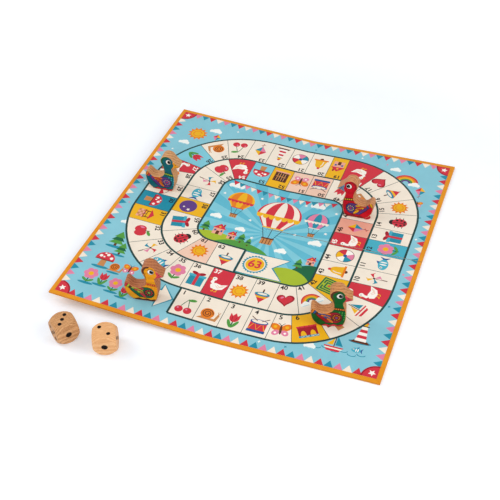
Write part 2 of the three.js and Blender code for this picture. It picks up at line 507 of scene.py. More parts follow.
def flower():
    petals = [("pink", oval(3.1, x=4.4 * math.cos(a), y=3 + 4.4 * math.sin(a)))
              for a in (math.pi * place / 3 for place in range(6))]
    leaves = [("green", moved(oval(3.6, 1.4), side * 3, -6, side * 35)) for side in (-1, 1)]
    return [("dark_green", block(-0.6, -9, 0.6, 2))] + leaves + petals + [("yellow", oval(2.6, y=3))]


def tulip():
    cup = arc(0, 2, 4.5, 5, 180, 360) + [(4.5, 7), (2.2, 4), (0, 7.6), (-2.2, 4), (-4.5, 7)]
    leaves = [("green", moved(oval(5, 1.5), side * 2.6, -5.4, side * 62)) for side in (-1, 1)]
    vein = [("deep_red", line([(side * 1.4, -2), (side * 2, 3)], 0.6)) for side in (-1, 1)]
    return [("dark_green", block(-0.6, -9, 0.6, -2))] + leaves + [("red", cup)] + vein


def mushroom():
    cap = arc(0, 0, 8.5, 8, 0, 180) + [(-8.5, -1), (8.5, -1)]
    stem = [(-2.4, 0), (-3.2, -9), (3.2, -9), (2.4, 0)]
    spots = dots("white", 1.5, (-4.6, 2.6), (1, 5.2), (5.2, 2))
    small_spots = dots("white", 0.9, (-1.6, 2), (-1.8, 6.4))
    return [("tan", stem), ("brown", block(-8.5, -1.8, 8.5, -0.8)), ("red", cap), *spots, *small_spots]


def fir_tree():
    tiers = [("dark_green" if tier % 2 else "green", [(-7 + tier, base), (7 - tier, base), (0, base + 8)])
             for tier, base in ((0, -6), (1, -2), (2, 2))]
    return [("brown", block(-1.2, -9, 1.2, -5))] + tiers


def house():
    roof = [(-8, 1), (8, 1), (0, 9)]
    walls = [("salmon", block(-6, -9, 6, 1)), ("deep_red", block(3, 4, 5, 9)), ("red", roof)]
    openings = [("brown", block(-1.8, -9, 1.8, -3)), ("blue", block(-4.8, -4, -2.6, -1.2)),
                ("blue", block(2.6, -4, 4.8, -1.2)), ("yellow", oval(1.3, y=3.6))]
    return walls + openings


def kite():
    corners = [(0, 9), (6, 2), (0, -6), (-6, 2)]
    colours = ("red", "yellow", "teal", "pink")
    panels = [(colour, [(0, 2), corners[place], corners[(place + 3) % 4]])
              for place, colour in enumerate(colours)]
    tail = [("ink", line([(0, -6), (1.4, -7.6), (-1, -9.2), (1, -10.8)], 0.5))]
    bows = [("red", star(2, 1.6, 0.4, x, y, 0)) for x, y in ((1.2, -7.6), (-0.8, -9.2))]
    return panels + tail + bows


def fish():
    stripes = [("white", moved(oval(0.8, 3.2), x, 0)) for x in (-1, 2)]
    fins = [("blue", [(4, 0), (9, 5), (7.6, 0), (9, -5)]), ("blue", [(-3, 3.6), (2.4, 3.4), (2.6, 7)])]
    return fins + [("pale_teal", moved(oval(7, 4.6), -1, 0))] + stripes + [
        ("white", oval(1.2, x=-5, y=1)), ("ink", oval(0.6, x=-5.2, y=1))]


def umbrella():
    colours = ("red", "cream", "teal", "cream", "red")
    panels = [(colour, arc(0, 0, 9, 8, 36 * place, 36 * place + 36) + [(0, 0)])
              for place, colour in enumerate(colours)]
    handle = line([(0, 9), (0, -7), (1.2, -8.6), (2.8, -8.4), (3.2, -7)], 0.9)
    return [("brown", handle), ("brown", arc(0, 0, 9.5, 8.5, 0, 180))] + panels


def heart():
    outline = []
    for place in range(30):
        t = 2 * math.pi * place / 30
        across = 8 * math.sin(t) ** 3
        up = 6.5 * math.cos(t) - 2.5 * math.cos(2 * t) - math.cos(3 * t) - 0.5 * math.cos(4 * t)
        outline.append((across, up + 1))
    inner = moved(outline, 0, 0.2, 0, 0.78)
    return [("deep_red", outline[::-1]), ("red", inner[::-1]), ("pink", moved(oval(1.7, 0.9), -3, 3.6, 35))]


def ball():
    colours = ("red", "yellow", "white", "teal", "pink", "white")
    wedges = [(colour, arc(0, 0, 8, 8, 60 * place, 60 * place + 60) + [(0, 0)])
              for place, colour in enumerate(colours)]
    return [("brown", oval(8.5))] + wedges + [("blue", oval(1.8))]


def sailing_boat():
    hull = [(-8, -3), (8, -3), (5, -8), (-5, -8)]
    return [("brown", block(-0.4, -3, 0.4, 9)), ("teal", [(0.9, -1.6), (7, -1.6), (0.9, 8)]),
            ("yellow", [(-0.9, -1.6), (-0.9, 6), (-6, -1.6)]), ("red", hull),
            ("cream", [(-7.2, -4.4), (7.2, -4.4), (6.4, -5.8), (-6.4, -5.8)])]


def cherries():
    stalks = [("dark_green", line([(1, 8), (side * 2 + 0.4, 3), (side * 4, -3)], 0.7)) for side in (-1, 1)]
    fruit = dots("red", 3.7, (-4, -5), (4, -5)) + dots("pink", 0.9, (-5.2, -3.8), (2.8, -3.8))
    return stalks + [("green", moved(oval(3.6, 1.6), 4.3, 7.6, 12))] + fruit


def pinwheel():
    colours = ("red", "yellow", "teal", "pink")
    blades = []
    for place, colour in enumerate(colours):
        blades.append((colour, moved([(0, 0), (7.5, 0), (4.5, 4.5)], 0, 3, 90 * place)))
        blades.append(("cream", moved([(0, 0), (7.5, 0), (5.2, 1.4)], 0, 3, 90 * place)))
    return [("brown", block(-0.5, -9, 0.5, 3))] + blades + [("ink", oval(1, y=3))]


def spinning_top():
    body = [(-7, 2), (0, -8), (7, 2)]
    band = [(-5.6, 0), (5.6, 0), (4.2, -2), (-4.2, -2)]
    foot = [(-0.6, -7), (0.6, -7), (0, -9.5)]
    return [("brown", block(-0.7, 4, 0.7, 9)), ("red", body), ("yellow", band), ("teal", oval(7, 2.4, y=2.6)),
            ("cream", oval(4.6, 1.2, y=3)), ("brown", foot)]


def butterfly():
    wings = []
    for side in (-1, 1):
        wings += [("orange", moved(oval(5, 3.6), side * 4.6, 2.8, side * 38)),
                  ("yellow", oval(1.6, x=side * 5, y=3.2)),
                  ("pink", moved(oval(3.6, 2.8), side * 4, -3.6, side * -38)),
                  ("white", oval(1.1, x=side * 4.2, y=-3.8)),
                  ("ink", line([(0, 4), (side * 1.6, 6.6), (side * 3, 7.4)], 0.5))]
    return wings + [("brown", oval(1.1, 5.6))]


def apple():
    halves = [("red", oval(4.6, 5.6, side * 2.6, -1.8)) for side in (-1, 1)]
    stalk = line([(0, 2.6), (0.5, 7)], 1)
    return halves + [("pink", moved(oval(1, 2.2), -4.6, -0.4, -15)), ("brown", stalk),
                     ("green", moved(oval(3.4, 1.5), 3.8, 6.2, 25))]


def parcel():
    bow = [("deep_red", moved(oval(3.6, 1.8), side * 3, 7, side * 20)) for side in (-1, 1)]
    return [("teal", block(-7, -8, 7, 3)), ("pale_teal", block(-8, 2.6, 8, 5.6)),
            ("red", block(-1.4, -8, 1.4, 5.6)), *bow, ("red", oval(1.5, y=6.4))]


def drum():
    lacing = line([(-7, -5), (-3.5, 3), (0, -5), (3.5, 3), (7, -5)], 0.7)
    sticks = [("brown", line([(side * 2, 5), (side * 8, 9)], 0.8)) for side in (-1, 1)]
    return [("red", block(-7.5, -6, 7.5, 4)), ("yellow", lacing), ("blue", block(-8, -8.4, 8, -5.6)),
            ("blue", oval(8, 2.8, y=4)), ("cream", oval(6.8, 1.9, y=4.3)), *sticks]


def snail():
    turns = [math.radians(30 * place) for place in range(27)]
    coil = [((5 - 0.16 * place) * math.cos(turn) - 1.5, (5 - 0.16 * place) * math.sin(turn) - 1)
            for place, turn in enumerate(turns)]
    foot = [(-9.4, -8), (8, -8), (9.4, 0), (7.4, 0.4), (6, -5.4), (-6, -5.4)]
    horns = [("tan", line([(8.2, 0), (8.2 + side, 3.4)], 0.6)) for side in (-1, 1)]
    return horns + [("tan", foot), ("orange", oval(6, x=-1.5, y=-1)), ("brown", line(coil, 0.8))]


def ladybird():
    legs = [("ink", line([(-7.4, y + 1), (0, y), (7.4, y + 1)], 0.7)) for y in (2, -1.4, -4.8)]
    spots = dots("ink", 1.2, (-3.2, 1.6), (3.2, 1.6), (-3.6, -2.4), (3.6, -2.4), (-2, -5.6), (2, -5.6))
    body = [("ink", oval(3.6, y=5.4)), ("red", oval(6, 7, y=-1)), ("ink", block(-0.35, -8, 0.35, 6))]
    return legs + body + spots


def bell():
    body = [(-6.5, -5)] + arc(0, 1, 4.8, 7, 180, 0) + [(6.5, -5)]
    shine = line([(-2.8, -3), (-2.6, 2), (-1.4, 5)], 1)
    return [("brown", oval(1.9, y=-6.4)), ("yellow", body), ("cream", shine),
            ("orange", block(-7.4, -6, 7.4, -4)), ("red", oval(1.5, y=8.4))]


def cloud():
    puffs = [(0, 0, 6), (-6, -1.4, 4.2), (6, -1.2, 4.6), (2.4, 3, 4.2)]
    rounds = [("cloud", oval(radius, x=x, y=y)) for x, y, radius in puffs]
    return rounds + [("cloud", block(-8, -5.4, 8.4, -1)), ("ray", block(-7, -5.4, 7.4, -4.2))]


def rainbow():
    bands = (("red", 8.6), ("orange", 7.2), ("yellow", 5.8), ("green", 4.4), ("violet", 3))
    bows = [(ink, line(arc(0, -4, radius, radius, 0, 180), 1.5)) for ink, radius in bands]
    return bows + placed(cloud(), -6.5, -4.6, 0, 0.42) + placed(cloud(), 6.5, -4.6, 0, 0.42)


def lighthouse():
    bands = []
    for band in range(5):
        low, high = -9 + 2.8 * band, -6.2 + 2.8 * band
        wide, narrow = 4 - 0.4 * band, 3.6 - 0.4 * band
        outline = [(-wide, low), (wide, low), (narrow, high), (-narrow, high)]
        bands.append(("red" if band % 2 else "white", outline))
    roof = [(-2.4, 8.2), (2.4, 8.2), (0, 10.4)]
    lamp = [("ink", block(-3, 5, 3, 5.8)), ("yellow", block(-1.6, 5.8, 1.6, 8.2)), ("red", roof)]
    return [("brown", [(-7, -11), (7, -11), (5, -8.6), (-5, -8.6)])] + bands + lamp


def bridge():
    arches = [("yellow", arc(x, -7, 2.6, 6, 0, 180)) for x in (-4.5, 4.5)]
    stones = [("deep_red", block(x, 3, x + 0.6, 5)) for x in (-6.4, -2.2, 2, 6.2)]
    waves = [("cream", line(arc(x, -7.4, 1.6, 1, 190, 350, 20), 0.5)) for x in (-6, -1.2, 3.6, 7.4)]
    return [("deep_red", block(-9, -7, 9, 3)), ("red", block(-9.5, 3, 9.5, 5)), *stones, *arches,
            ("teal", block(-9.5, -9.4, 9.5, -7)), *waves]


def well():
    stones = []
    for row in range(3):
        for column in range(4):
            left, low = 3 * column - 6, 2.6 * row - 9
            stones.append(("salmon" if (row + column) % 2 else "tan", block(left, low, left + 3, low + 2.6)))
    posts = [("brown", block(side * 4.6 - 0.6, -2, side * 4.6 + 0.6, 5)) for side in (-1, 1)]
    return posts + [("red", [(-8, 4.4), (8, 4.4), (0, 9.4)]), ("brown", block(-5, 0.6, 5, 1.4)),
                    ("ink", line([(0, 1), (0, -2)], 0.5)), ("blue", block(-1.4, -3.2, 1.4, -0.6)), *stones,
                    ("deep_red", block(-6.8, -2, 6.8, -1))]


def maze():
    walls = []
    for half, gap in ((8.6, 0), (6, 180), (3.4, 0)):
        ring = [(1.5, -half), (half, -half), (half, half), (-half, half), (-half, -half), (-1.5, -half)]
        walls.append(("dark_green", line(moved(ring, 0, 0, gap), 1.5)))
    return [("lime", block(-9.6, -9.6, 9.6, 9.6)), *walls, ("red", star(5, 2, 0.9))]


def barred_window():
    bars = [("tan", block(x - 0.5, -6, x + 0.5, 7)) for x in (-4, -1.4, 1.4, 4)]
    return [("brown", block(-7.5, -9, 7.5, 8.6)), ("ink", block(-5.6, -6.4, 5.6, 7)), *bars,
            ("tan", block(-5.6, -0.4, 5.6, 0.6)), ("salmon", block(-8.6, -9, 8.6, -7))]


def little_goose():
    neck = line([(-2, -1), (-5.4, 2), (-4.6, 6)], 2.6)
    body = [(-6, -1), (-4.5, -5), (1, -6), (6, -4), (9, 3), (3.5, 1), (-2, 2)]
    legs = [("yellow", line([(x, -5), (x - 0.4, -8.4), (x - 2, -8.6)], 0.8)) for x in (-1, 2)]
    feathers = ([(-1, -1), (1.6, -3.4), (6, -0.6)], [(0, 0), (2.6, -1.8), (6.6, 1)])
    wing = [("blush", line(feather, 0.7)) for feather in feathers]
    return legs + [("white", body), ("white", neck), ("white", oval(2.2, x=-4.6, y=6.6)), *wing,
                   ("orange", [(-6.4, 7.3), (-9.6, 6), (-6.4, 5.6)]), ("ink", oval(0.5, x=-5, y=7))]


def balloon(stripes, trim, basket):
    """A hot-air balloon, 20 mm across, in stripes with a garland round it."""
    drawing = [("ink", line([(side * 4.6, -7), (side * 2, -14)], 0.3)) for side in (-1, 0, 1)]
    drawing += [(basket, block(-2.6, -17.6, 2.6, -13.6)), ("brown", block(-2.8, -14.2, 2.8, -13.4))]
    drawing += [("brown", block(x - 0.15, -17.6, x + 0.15, -14)) for x in (-1.4, 0, 1.4)]
    count = len(stripes)
    edges = [math.cos(math.pi * (1 - place / count)) for place in range(count + 1)]
    for stripe, left, right in zip(stripes, edges, edges[1:]):
        outline = arc(0, 1, 10 * left, 10, 90, 0, 10) if left else [(0, 11), (0, 1)]
        outline += [(4.6 * left, -7), (4.6 * right, -7)]
        outline += arc(0, 1, 10 * right, 10, 0, 90, 10)[:-1] if right else [(0, 1)]
        drawing.append((stripe, outline))
    swags = 7
    wide = 9.9
    for swag in range(swags):
        left = -wide + 2 * wide * swag / swags
        drawing.append((trim, arc(left + wide / swags, 0.4, wide / swags, 2, 180, 360, 20)))
    drawing += [(trim, block(-wide, 0.2, wide, 1.1)), (trim, block(-4.7, -7.4, 4.7, -6.6))]
    return drawing


# The track's rail runs round the board like a snail's shell: front, right, back, left and again, a track's
# width further in. Each stretch lies some way from the middle, and bends into the next round an oval whose
# centre is given along the stretch and in from the middle.
rail_distances = [187.5, 187.5, 181.5, 184.5, 142.5, 133.5, 130.5, 133.5, 93, 87, 84.5, 87, 48.5]
rail_bends = [(65, 63), (63, 65), (50, 50), (12, 65), (65, 63), (63, 65), (65, 63), (30, 65),
              (63, 69), (62.5, 65), (65, 61), (24, 60)]
stretches_per_turn = 4
track_start = -61
track_end = -11

# Where the squares are cut on each stretch: places along it, then angles round its bend
track_cuts = [
    ([-61, -28.5, 3.5, 34.5, 65], [15, 36.5, 55.5, 76]),
    ([-62, -34, -3.4, 22.5, 48], [12, 29, 50, 64.5]),
    ([-64, -40.5, -10.5, 19.5, 49], [13, 31, 49, 70, 84]),
    ([-39, -12, 18.5], [16, 38.5, 57.5, 74]),
    ([-64, -36.5, -7, 22, 52], [22, 58.5]),
    ([-62, -34, -3.4, 22.5, 53], [25, 62]),
    ([-55, -26, 3, 32.5, 62], [32, 64]),
    ([-45, -18, 12.5], [25, 66]),
    ([-49, -11], []),
]
bend_steps = 16
shortest_step = 0.4
rail_width = 2.8
divider_width = 0.7
numeral_size = 9.4
numeral_from_rail = 6.6
numeral_from_divider = 7


def bend_radius(stretch):
    """Mean radius of the bend at a stretch's end."""
    along, inwards = rail_bends[stretch]
    return (rail_distances[stretch + 1] - along + rail_distances[stretch] - inwards) / 2


def run_end(stretch):
    """How far the rail runs on a stretch, to the end of its bend."""
    return rail_bends[stretch][0] + bend_radius(stretch) * math.pi / 2


def rail_point(stretch, run):
    """A point on the rail, by how far it has run along a stretch and round its bend."""
    distance = rail_distances[stretch]
    x, y = run, -distance
    if stretch < len(rail_bends) and run > rail_bends[stretch][0]:
        along, inwards = rail_bends[stretch]
        angle = (run - along) / bend_radius(stretch)
        x = along + (rail_distances[stretch + 1] - along) * math.sin(angle)
        y = -(inwards + (distance - inwards) * math.cos(angle))
    return moved([(x, y)], 0, 0, 90 * (stretch % stretches_per_turn))[0]


def rail_run(stretch, start, end):
    """Points on one stretch of the rail, close together round its bend."""
    runs = [start]
    if stretch < len(rail_bends):
        along = rail_bends[stretch][0]
        bend = [along + (run_end(stretch) - along) * place / bend_steps for place in range(bend_steps + 1)]
        runs += [run for run in bend if start + shortest_step < run < end - shortest_step]
    return [rail_point(stretch, run) for run in runs + [end]]


def cut_run(stretch, place, angle):
    """How far the rail of a stretch has run at a cut."""
    if stretch >= len(rail_bends):
        return place
    along = rail_bends[stretch][0]
    if angle is None:
        if place <= along:
            return place
        angle = math.degrees(math.asin((place - along) / (rail_distances[stretch + 1] - along)))
    return along + bend_radius(stretch) * math.radians(angle)


cuts = []
for stretch, (places, angles) in enumerate(track_cuts):
    cuts += [(stretch, place, None) for place in places]
    cuts += [(stretch, None, angle) for angle in angles]


def rail_between(first, last, further_in):
    """The rail from one cut to the next, on the outer side of the track or a turn further in."""
    stretch, *cut = first
    last_stretch, *last_cut = last
    rail = stretch + further_in
    start = cut_run(rail, *cut)
    if last_stretch == stretch:
        return rail_run(rail, start, cut_run(rail, *last_cut))
    next_start = -rail_bends[rail][1]
    next_part = rail_run(rail + 1, next_start, cut_run(rail + 1, *last_cut))
    return rail_run(rail, start, run_end(rail)) + next_part[1:]


def whole_rail(first, last, start, end):
    """The rail over several stretches."""
    points = []
    for stretch in range(first, last + 1):
        run_from = start if stretch == first else -rail_bends[stretch - 1][1]
        run_to = end if stretch == last else run_end(stretch)
        points += rail_run(stretch, run_from, run_to)[1 if points else 0:]
    return points


def towards(start, end, distance):
    """A point some way from one point towards another."""
    length = math.hypot(end[0] - start[0], end[1] - start[1])
    share = distance / length
    return (start[0] + (end[0] - start[0]) * share, start[1] + (end[1] - start[1]) * share)


# Squares that aren't cream, and the pictures, taken in turn
square_inks = {
    6: "yellow", 9: "red", 12: "pale_teal", 18: "red", 19: "yellow", 26: "ray", 27: "red", 30: "teal",
    31: "yellow", 37: "red", 42: "yellow", 45: "red", 46: "salmon", 50: "blush", 51: "blush", 52: "yellow",
    53: "ray", 54: "red", 58: "yellow", 61: "blush"}
rule_pictures = {6: bridge, 19: house, 31: well, 42: maze, 52: barred_window, 58: moon}
plain_pictures = [
    kite, cherries, snail, tulip, drum, butterfly, umbrella, mushroom, sailing_boat, apple, pinwheel, fish,
    flower, parcel, ladybird, sun, spinning_top, heart, rainbow, fir_tree, bell, ball, lighthouse]
picture_size = 1.42
rule_picture_size = 1.3
picture_drop = 4  # from the square's middle, away from its number


def draw_squares():
    """The track's squares with their dividers, pictures and numbers."""
    squares, dividers, pictures, numbers = [], [], [], []
    for number, (first, last) in enumerate(zip(cuts, cuts[1:]), start=1):
        outer = rail_between(first, last, 0)
        inner = rail_between(first, last, stretches_per_turn)
        squares.append((square_inks.get(number, "cream"), outer + inner[::-1]))
        dividers.append(("rail", line([outer[-1], inner[-1]], divider_width)))
        outer_middle = ((outer[0][0] + outer[-1][0]) / 2, (outer[0][1] + outer[-1][1]) / 2)
        inner_middle = ((inner[0][0] + inner[-1][0]) / 2, (inner[0][1] + inner[-1][1]) / 2)
        middle = ((outer_middle[0] + inner_middle[0]) / 2, (outer_middle[1] + inner_middle[1]) / 2)
        inwards = (inner_middle[0] - outer_middle[0], inner_middle[1] - outer_middle[1])
        turn = math.degrees(math.atan2(inwards[1], inwards[0])) - 90
        goose_square = square_inks.get(number) == "red"
        plain = plain_pictures[number % len(plain_pictures)]
        picture = little_goose if goose_square else rule_pictures.get(number, plain)
        size = rule_picture_size if number in rule_pictures else picture_size
        pictures += placed(picture(), *towards(middle, outer_middle, picture_drop), turn, size)
        corner = towards(inner[0], outer[0], numeral_from_rail)
        corner_end = towards(inner[-1], outer[-1], numeral_from_rail)
        at = towards(corner, corner_end, numeral_from_divider)
        ink = "white" if goose_square else "ink"
        numbers += [(ink, moved(face, *at, turn)) for face in numeral(str(number), numeral_size)]
    return squares + pictures + dividers[:-1] + numbers


# Bunting round the sheet's edge, and a plate with a star in each corner
flag_count = 33
flag_height = 9.8
flag_inks = ["red", "teal", "pink", "cream"]
plate_radius = 19
plate_rim = 2
plate_star = 4.8
plate_star_waist = 0.45 * plate_star
plate_star_in = 7


def draw_edge():
    """Bunting along the four edges, and the corner plates."""
    drawing = []
    reach = sheet_edge - plate_radius + plate_rim
    pitch = 2 * reach / flag_count
    for side in range(4):
        for place in range(flag_count):
            left = -reach + pitch * place
            point = (left + pitch / 2, flag_height - sheet_edge)
            flag = [(left, -sheet_edge), (left + pitch, -sheet_edge), point]
            drawing.append((flag_inks[(place + side) % len(flag_inks)], moved(flag, 0, 0, 90 * side)))
        corner = -sheet_edge
        for ink, radius in (("deep_red", plate_radius), ("red", plate_radius - plate_rim)):
            plate = arc(corner, corner, radius, radius, 0, 90, 6) + [(corner, corner)]
            drawing.append((ink, moved(plate, 0, 0, 90 * side)))
        at = corner + plate_star_in
        mark = star(5, plate_star, plate_star_waist, at, at, 45)
        drawing.append(("white", moved(mark, 0, 0, 90 * side)))
    return drawing


# What stands in the four corners of the sky, outside the track: a picture, its place and its size
corner_pictures = [
    (sun, -166, 160, 1.7), (cloud, -143, 176, 0.9), (cloud, -177, 134, 0.8), (kite, -136, 160, 1.0),
    (rainbow, 152, 160, 1.9), (kite, 176, 138, 1.2), (cloud, 132, 178, 0.75), (butterfly, 178, 112, 0.8),
    (lighthouse, 172, -140, 1.7), (sailing_boat, 145, -168, 1.5), (fish, 172, -170, 0.8),
    (cloud, 118, -180, 0.7), (fir_tree, -172, -92, 1.5), (fir_tree, -160, -108, 1.2),
    (mushroom, -172, -132, 1.5), (snail, -152, -140, 1.1), (flower, -176, -166, 1.3),
    (tulip, -158, -164, 1.25), (flower, -140, -170, 1.2), (tulip, -124, -175, 1.1),
    (butterfly, -134, -138, 1.1), (ladybird, -112, -158, 0.8), (cloud, -178, -58, 0.7)]
ground_drop = 10.2  # from a picture's middle to the ground that it stands on
standing = (fir_tree, mushroom, snail, flower, tulip, lighthouse)
wave_count = 6
wave_pitch = 10.5
wave_step = 3  # every other wave lies this much further back
first_wave = (126, -178)
sparkles = [(-112, 187), (-60, 190), (10, 189), (80, 190), (118, 186), (188, 84), (193, 40), (193, -30),
            (190, -90), (60, -193), (0, -194), (-189, 84), (-192, 30), (-192, -20), (92, -191), (-186, 112)]
sparkle_inks = ("white", "pink", "teal")


def draw_corners():
    """Small scenes in the four corners of the sky, outside the track."""
    drawing = []
    for picture, x, y, size in corner_pictures:
        if picture in standing:
            drawing.append(("teal", oval(8 * size, 1.6 * size, x, y - ground_drop * size)))
    for wave in range(wave_count):
        x, y = first_wave[0] + wave_pitch * wave, first_wave[1] + wave_step * (wave % 2)
        drawing.append(("teal", line(arc(x, y, 5, 2.8, 180, 360, 20), 1.1)))
    for picture, x, y, size in corner_pictures:
        drawing += placed(picture(), x, y, 0, size)
    for place, (x, y) in enumerate(sparkles):
        drawing.append((sparkle_inks[place % len(sparkle_inks)], star(4, 2.4, 0.9, x, y, 30 * place)))
    return drawing


start_arrow_length = 46
start_arrow_half = 9
start_head_length = 17
start_head_half = 19
start_stripes = 6
start_gap = 3.5
start_rim = 2


def draw_start():
    """A striped arrow that points to the first square."""
    level = -(rail_distances[0] + rail_distances[stretches_per_turn]) / 2
    tip = track_start - start_gap
    neck = tip - start_head_length
    tail = tip - start_arrow_length
    low, high = level - start_arrow_half, level + start_arrow_half
    arrow = [(tail, low), (neck, low), (neck, level - start_head_half), (tip, level),
             (neck, level + start_head_half), (neck, high), (tail, high)]
    drawing = [("teal", offset_points(arrow, start_rim, True)), ("cream", arrow)]
    stripe = (neck - tail) / (2 * start_stripes)
    drawing += [("red", block(tail + 2 * stripe * place, low, tail + 2 * stripe * place + stripe, high))
                for place in range(start_stripes)]
    return drawing


field_half = 95
ray_count = 18
ray_length = 125
ray_hub = (6, -8)
# A hill's ink, its middle, and its reach across and up
hills = [("lime", -58, -60, 46, 30), ("green", -20, -66, 46, 30), ("dark_green", 82, -96, 34, 46),
         ("lime", 52, -104, 40, 40)]
field_pictures = [
    (cloud, -68, 70, 1.1), (cloud, 52, 66, 1.0), (cloud, -72, 0, 0.8), (cloud, 70, -8, 0.9),
    (cloud, 32, -36, 0.8), (cloud, -32, -14, 0.7), (fir_tree, -77, -24, 1.1), (house, -58, -24, 1.2),
    (house, -38, -29, 0.9), (fir_tree, -24, -30, 1.0), (fir_tree, -13, -34, 0.8), (fir_tree, 62, -52, 1.0),
    (house, 76, -42, 0.9)]
field_stars = [(-26, 56), (36, 62), (-78, 48), (80, 58), (-26, 8), (40, 0), (78, 14), (-12, -24)]
# A balloon's stripes, its trim, its middle and its size
balloons = [
    (("red", "cream", "red", "cream", "red", "cream", "red"), "yellow", 8, 25, 3.1),
    (("yellow", "orange", "yellow", "orange", "yellow"), "red", -51, 38, 1.9),
    (("teal", "pink", "teal", "pink", "teal"), "cream", 60, 32, 1.7)]
garland_flags = 17
garland_half = 76
garland_height = 79
garland_sag = 9


def draw_field():
    """The middle of the board: a sunburst with hills, houses, clouds, a garland and balloons."""
    drawing = [("field", block(-field_half, -field_half, field_half, field_half))]
    for ray in range(ray_count):
        start = 360 * ray / ray_count
        end = start + 180 / ray_count
        drawing.append(("ray", [ray_hub] + arc(*ray_hub, ray_length, ray_length, start, end, 9)))
    drawing += [(ink, oval(across, up, x, y, 6)) for ink, x, y, across, up in hills]
    for picture, x, y, size in field_pictures:
        drawing += placed(picture(), x, y, 0, size)
    pitch = 2 * garland_half / garland_flags
    string = [-garland_half + pitch * place for place in range(garland_flags + 1)]
    string = [(x, garland_height - garland_sag * (1 - (x / garland_half) ** 2)) for x in string]
    for place, (left, right) in enumerate(zip(string, string[1:])):
        point = ((left[0] + right[0]) / 2, (left[1] + right[1]) / 2 - pitch)
        drawing.append((flag_inks[place % len(flag_inks)], [left, point, right]))
    drawing.append(("rail", line(string, 0.7)))
    for stripes, trim, x, y, size in balloons:
        drawing += placed(balloon(stripes, trim, "tan"), x, y, 0, size)
    drawing += [("white", star(5, 2.8, 1.2, x, y)) for x, y in field_stars]
    return drawing


finish_left = track_end
finish_low = -89.5
finish_high = -51
finish_right = 50
finish_notch = 18
finish_spot = (9.5, -70)
finish_numeral = 18
finish_rim = 1.8


def draw_finish():
    """The last number, in a rosette on a pennant with a notched end."""
    level = (finish_low + finish_high) / 2
    pennant = [(finish_left, finish_low), (finish_right, finish_low), (finish_right - finish_notch, level),
               (finish_right, finish_high), (finish_left, finish_high)]
    x, y = finish_spot
    drawing = [("teal", offset_points(pennant, finish_rim, True)), ("cream", pennant)]
    drawing += [("teal", star(24, 17, 14.8, x, y)), ("cream", oval(13.6, x=x, y=y)),
                ("yellow", oval(12.2, x=x, y=y))]
    drawing += [("red", moved(face, x, y)) for face in numeral(str(len(cuts)), finish_numeral)]
    return drawing


sky_bleed = 1  # how far the sky runs past the sheet's edge


def draw_board():
    """Everything that is printed on the sheet."""
    edge = sheet_edge + sky_bleed
    drawing = [("sky", block(-edge, -edge, edge, edge))]
    drawing += draw_corners() + draw_edge() + draw_start() + draw_field() + draw_squares() + draw_finish()
    rail = whole_rail(0, len(rail_bends), track_start, track_end)
    first_end = [(track_start, -rail_distances[stretches_per_turn]), rail[0]]
    last_end = [(track_end, -rail_distances[2 * stretches_per_turn]), rail[-1]]
    drawing += [("rail", line(points, rail_width)) for points in (rail, first_end, last_end)]
    return drawing


# Cutting a drawing into one flat mesh
inside_outlines = 1  # asks delaunay_2d_cdt for the triangles inside the outlines
merge_distance = 1e-4
printed_rise = 0.9  # a sheet's face is printed where its normal rises at least this much


def holds(outline, point):
    """True if an outline winds round a point, also where the outline crosses itself."""
    x, y = point
    winds = 0
    for a, b in zip(outline, outline[1:] + outline[:1]):
        if (a[1] <= y) != (b[1] <= y):
            left_of = (b[0] - a[0]) * (y - a[1]) - (x - a[0]) * (b[1] - a[1])
            if (left_of > 0) == (b[1] > a[1]):
                winds += 1 if b[1] > a[1] else -1
    return winds != 0


def cut_drawing(targets, drawing):
    """Cuts a drawing by its own outlines and by target outlines. Gives the points, and for each target the
    faces in it with the ink that shows on each."""
    points, faces = [], []
    for outline in list(targets.values()) + [outline for ink, outline in drawing]:
        turned = outline if area(outline) > 0 else outline[::-1]
        faces.append(list(range(len(points), len(points) + len(turned))))
        points += [Vector(point) for point in turned]
    found, _, cells, _, _, covers = delaunay_2d_cdt(points, [], faces, inside_outlines, merge_distance)
    names = list(targets)
    result = {name: [] for name in names}
    for cell, cover in zip(cells, covers):
        middle = sum((found[corner] for corner in cell), Vector((0, 0))) / len(cell)
        layers = sorted((place for place in cover if place >= len(names)), reverse=True)
        shown = (drawing[place - len(names)] for place in layers)
        ink = next((ink for ink, outline in shown if holds(outline, middle)), drawing[0][0])
        for place in cover:
            if place < len(names) and holds(targets[names[place]], middle):
                result[names[place]].append((cell, ink))
                break
    return found, result


def drawn_mesh(name, points, cells, place):
    """A mesh of inked cells, each of its points put where place says."""
    used = sorted({corner for cell, _ in cells for corner in cell})
    order = {corner: index for index, corner in enumerate(used)}
    mesh = bpy.data.meshes.new(name)
    mesh.from_pydata([place(*points[corner]) for corner in used], [],
                     [[order[corner] for corner in cell] for cell, _ in cells])
    ink_cells(mesh, [ink for _, ink in cells])
    return mesh


def ink_cells(mesh, colours):
    """Gives every face of a mesh its ink."""
    drawn = mesh.attributes.new("drawn", "FLOAT_VECTOR", "FACE")
    values = {ink: linear(inks[ink]) for ink in set(colours)}
    drawn.data.foreach_set("vector", [share for ink in colours for share in values[ink]])


def thicken(piece, drop):
    """Gives a flat sheet its thickness, downwards by a vector, with bare paper at its edges and back."""
    select_only(piece)
    bpy.ops.object.mode_set(mode="EDIT")
    bpy.ops.mesh.select_mode(type="EDGE")
    bpy.ops.mesh.select_all(action="DESELECT")
    bpy.ops.mesh.select_non_manifold()
    bpy.ops.mesh.extrude_edges_move(TRANSFORM_OT_translate={"value": drop})
    bpy.ops.mesh.edge_face_add()
    bpy.ops.mesh.select_all(action="SELECT")
    bpy.ops.mesh.normals_make_consistent(inside=False)
    bpy.ops.object.mode_set(mode="OBJECT")
    drawn = piece.data.attributes["drawn"]
    for face in piece.data.polygons:
        if face.normal.z < printed_rise:
            drawn.data[face.index].vector = linear(inks["paper"])


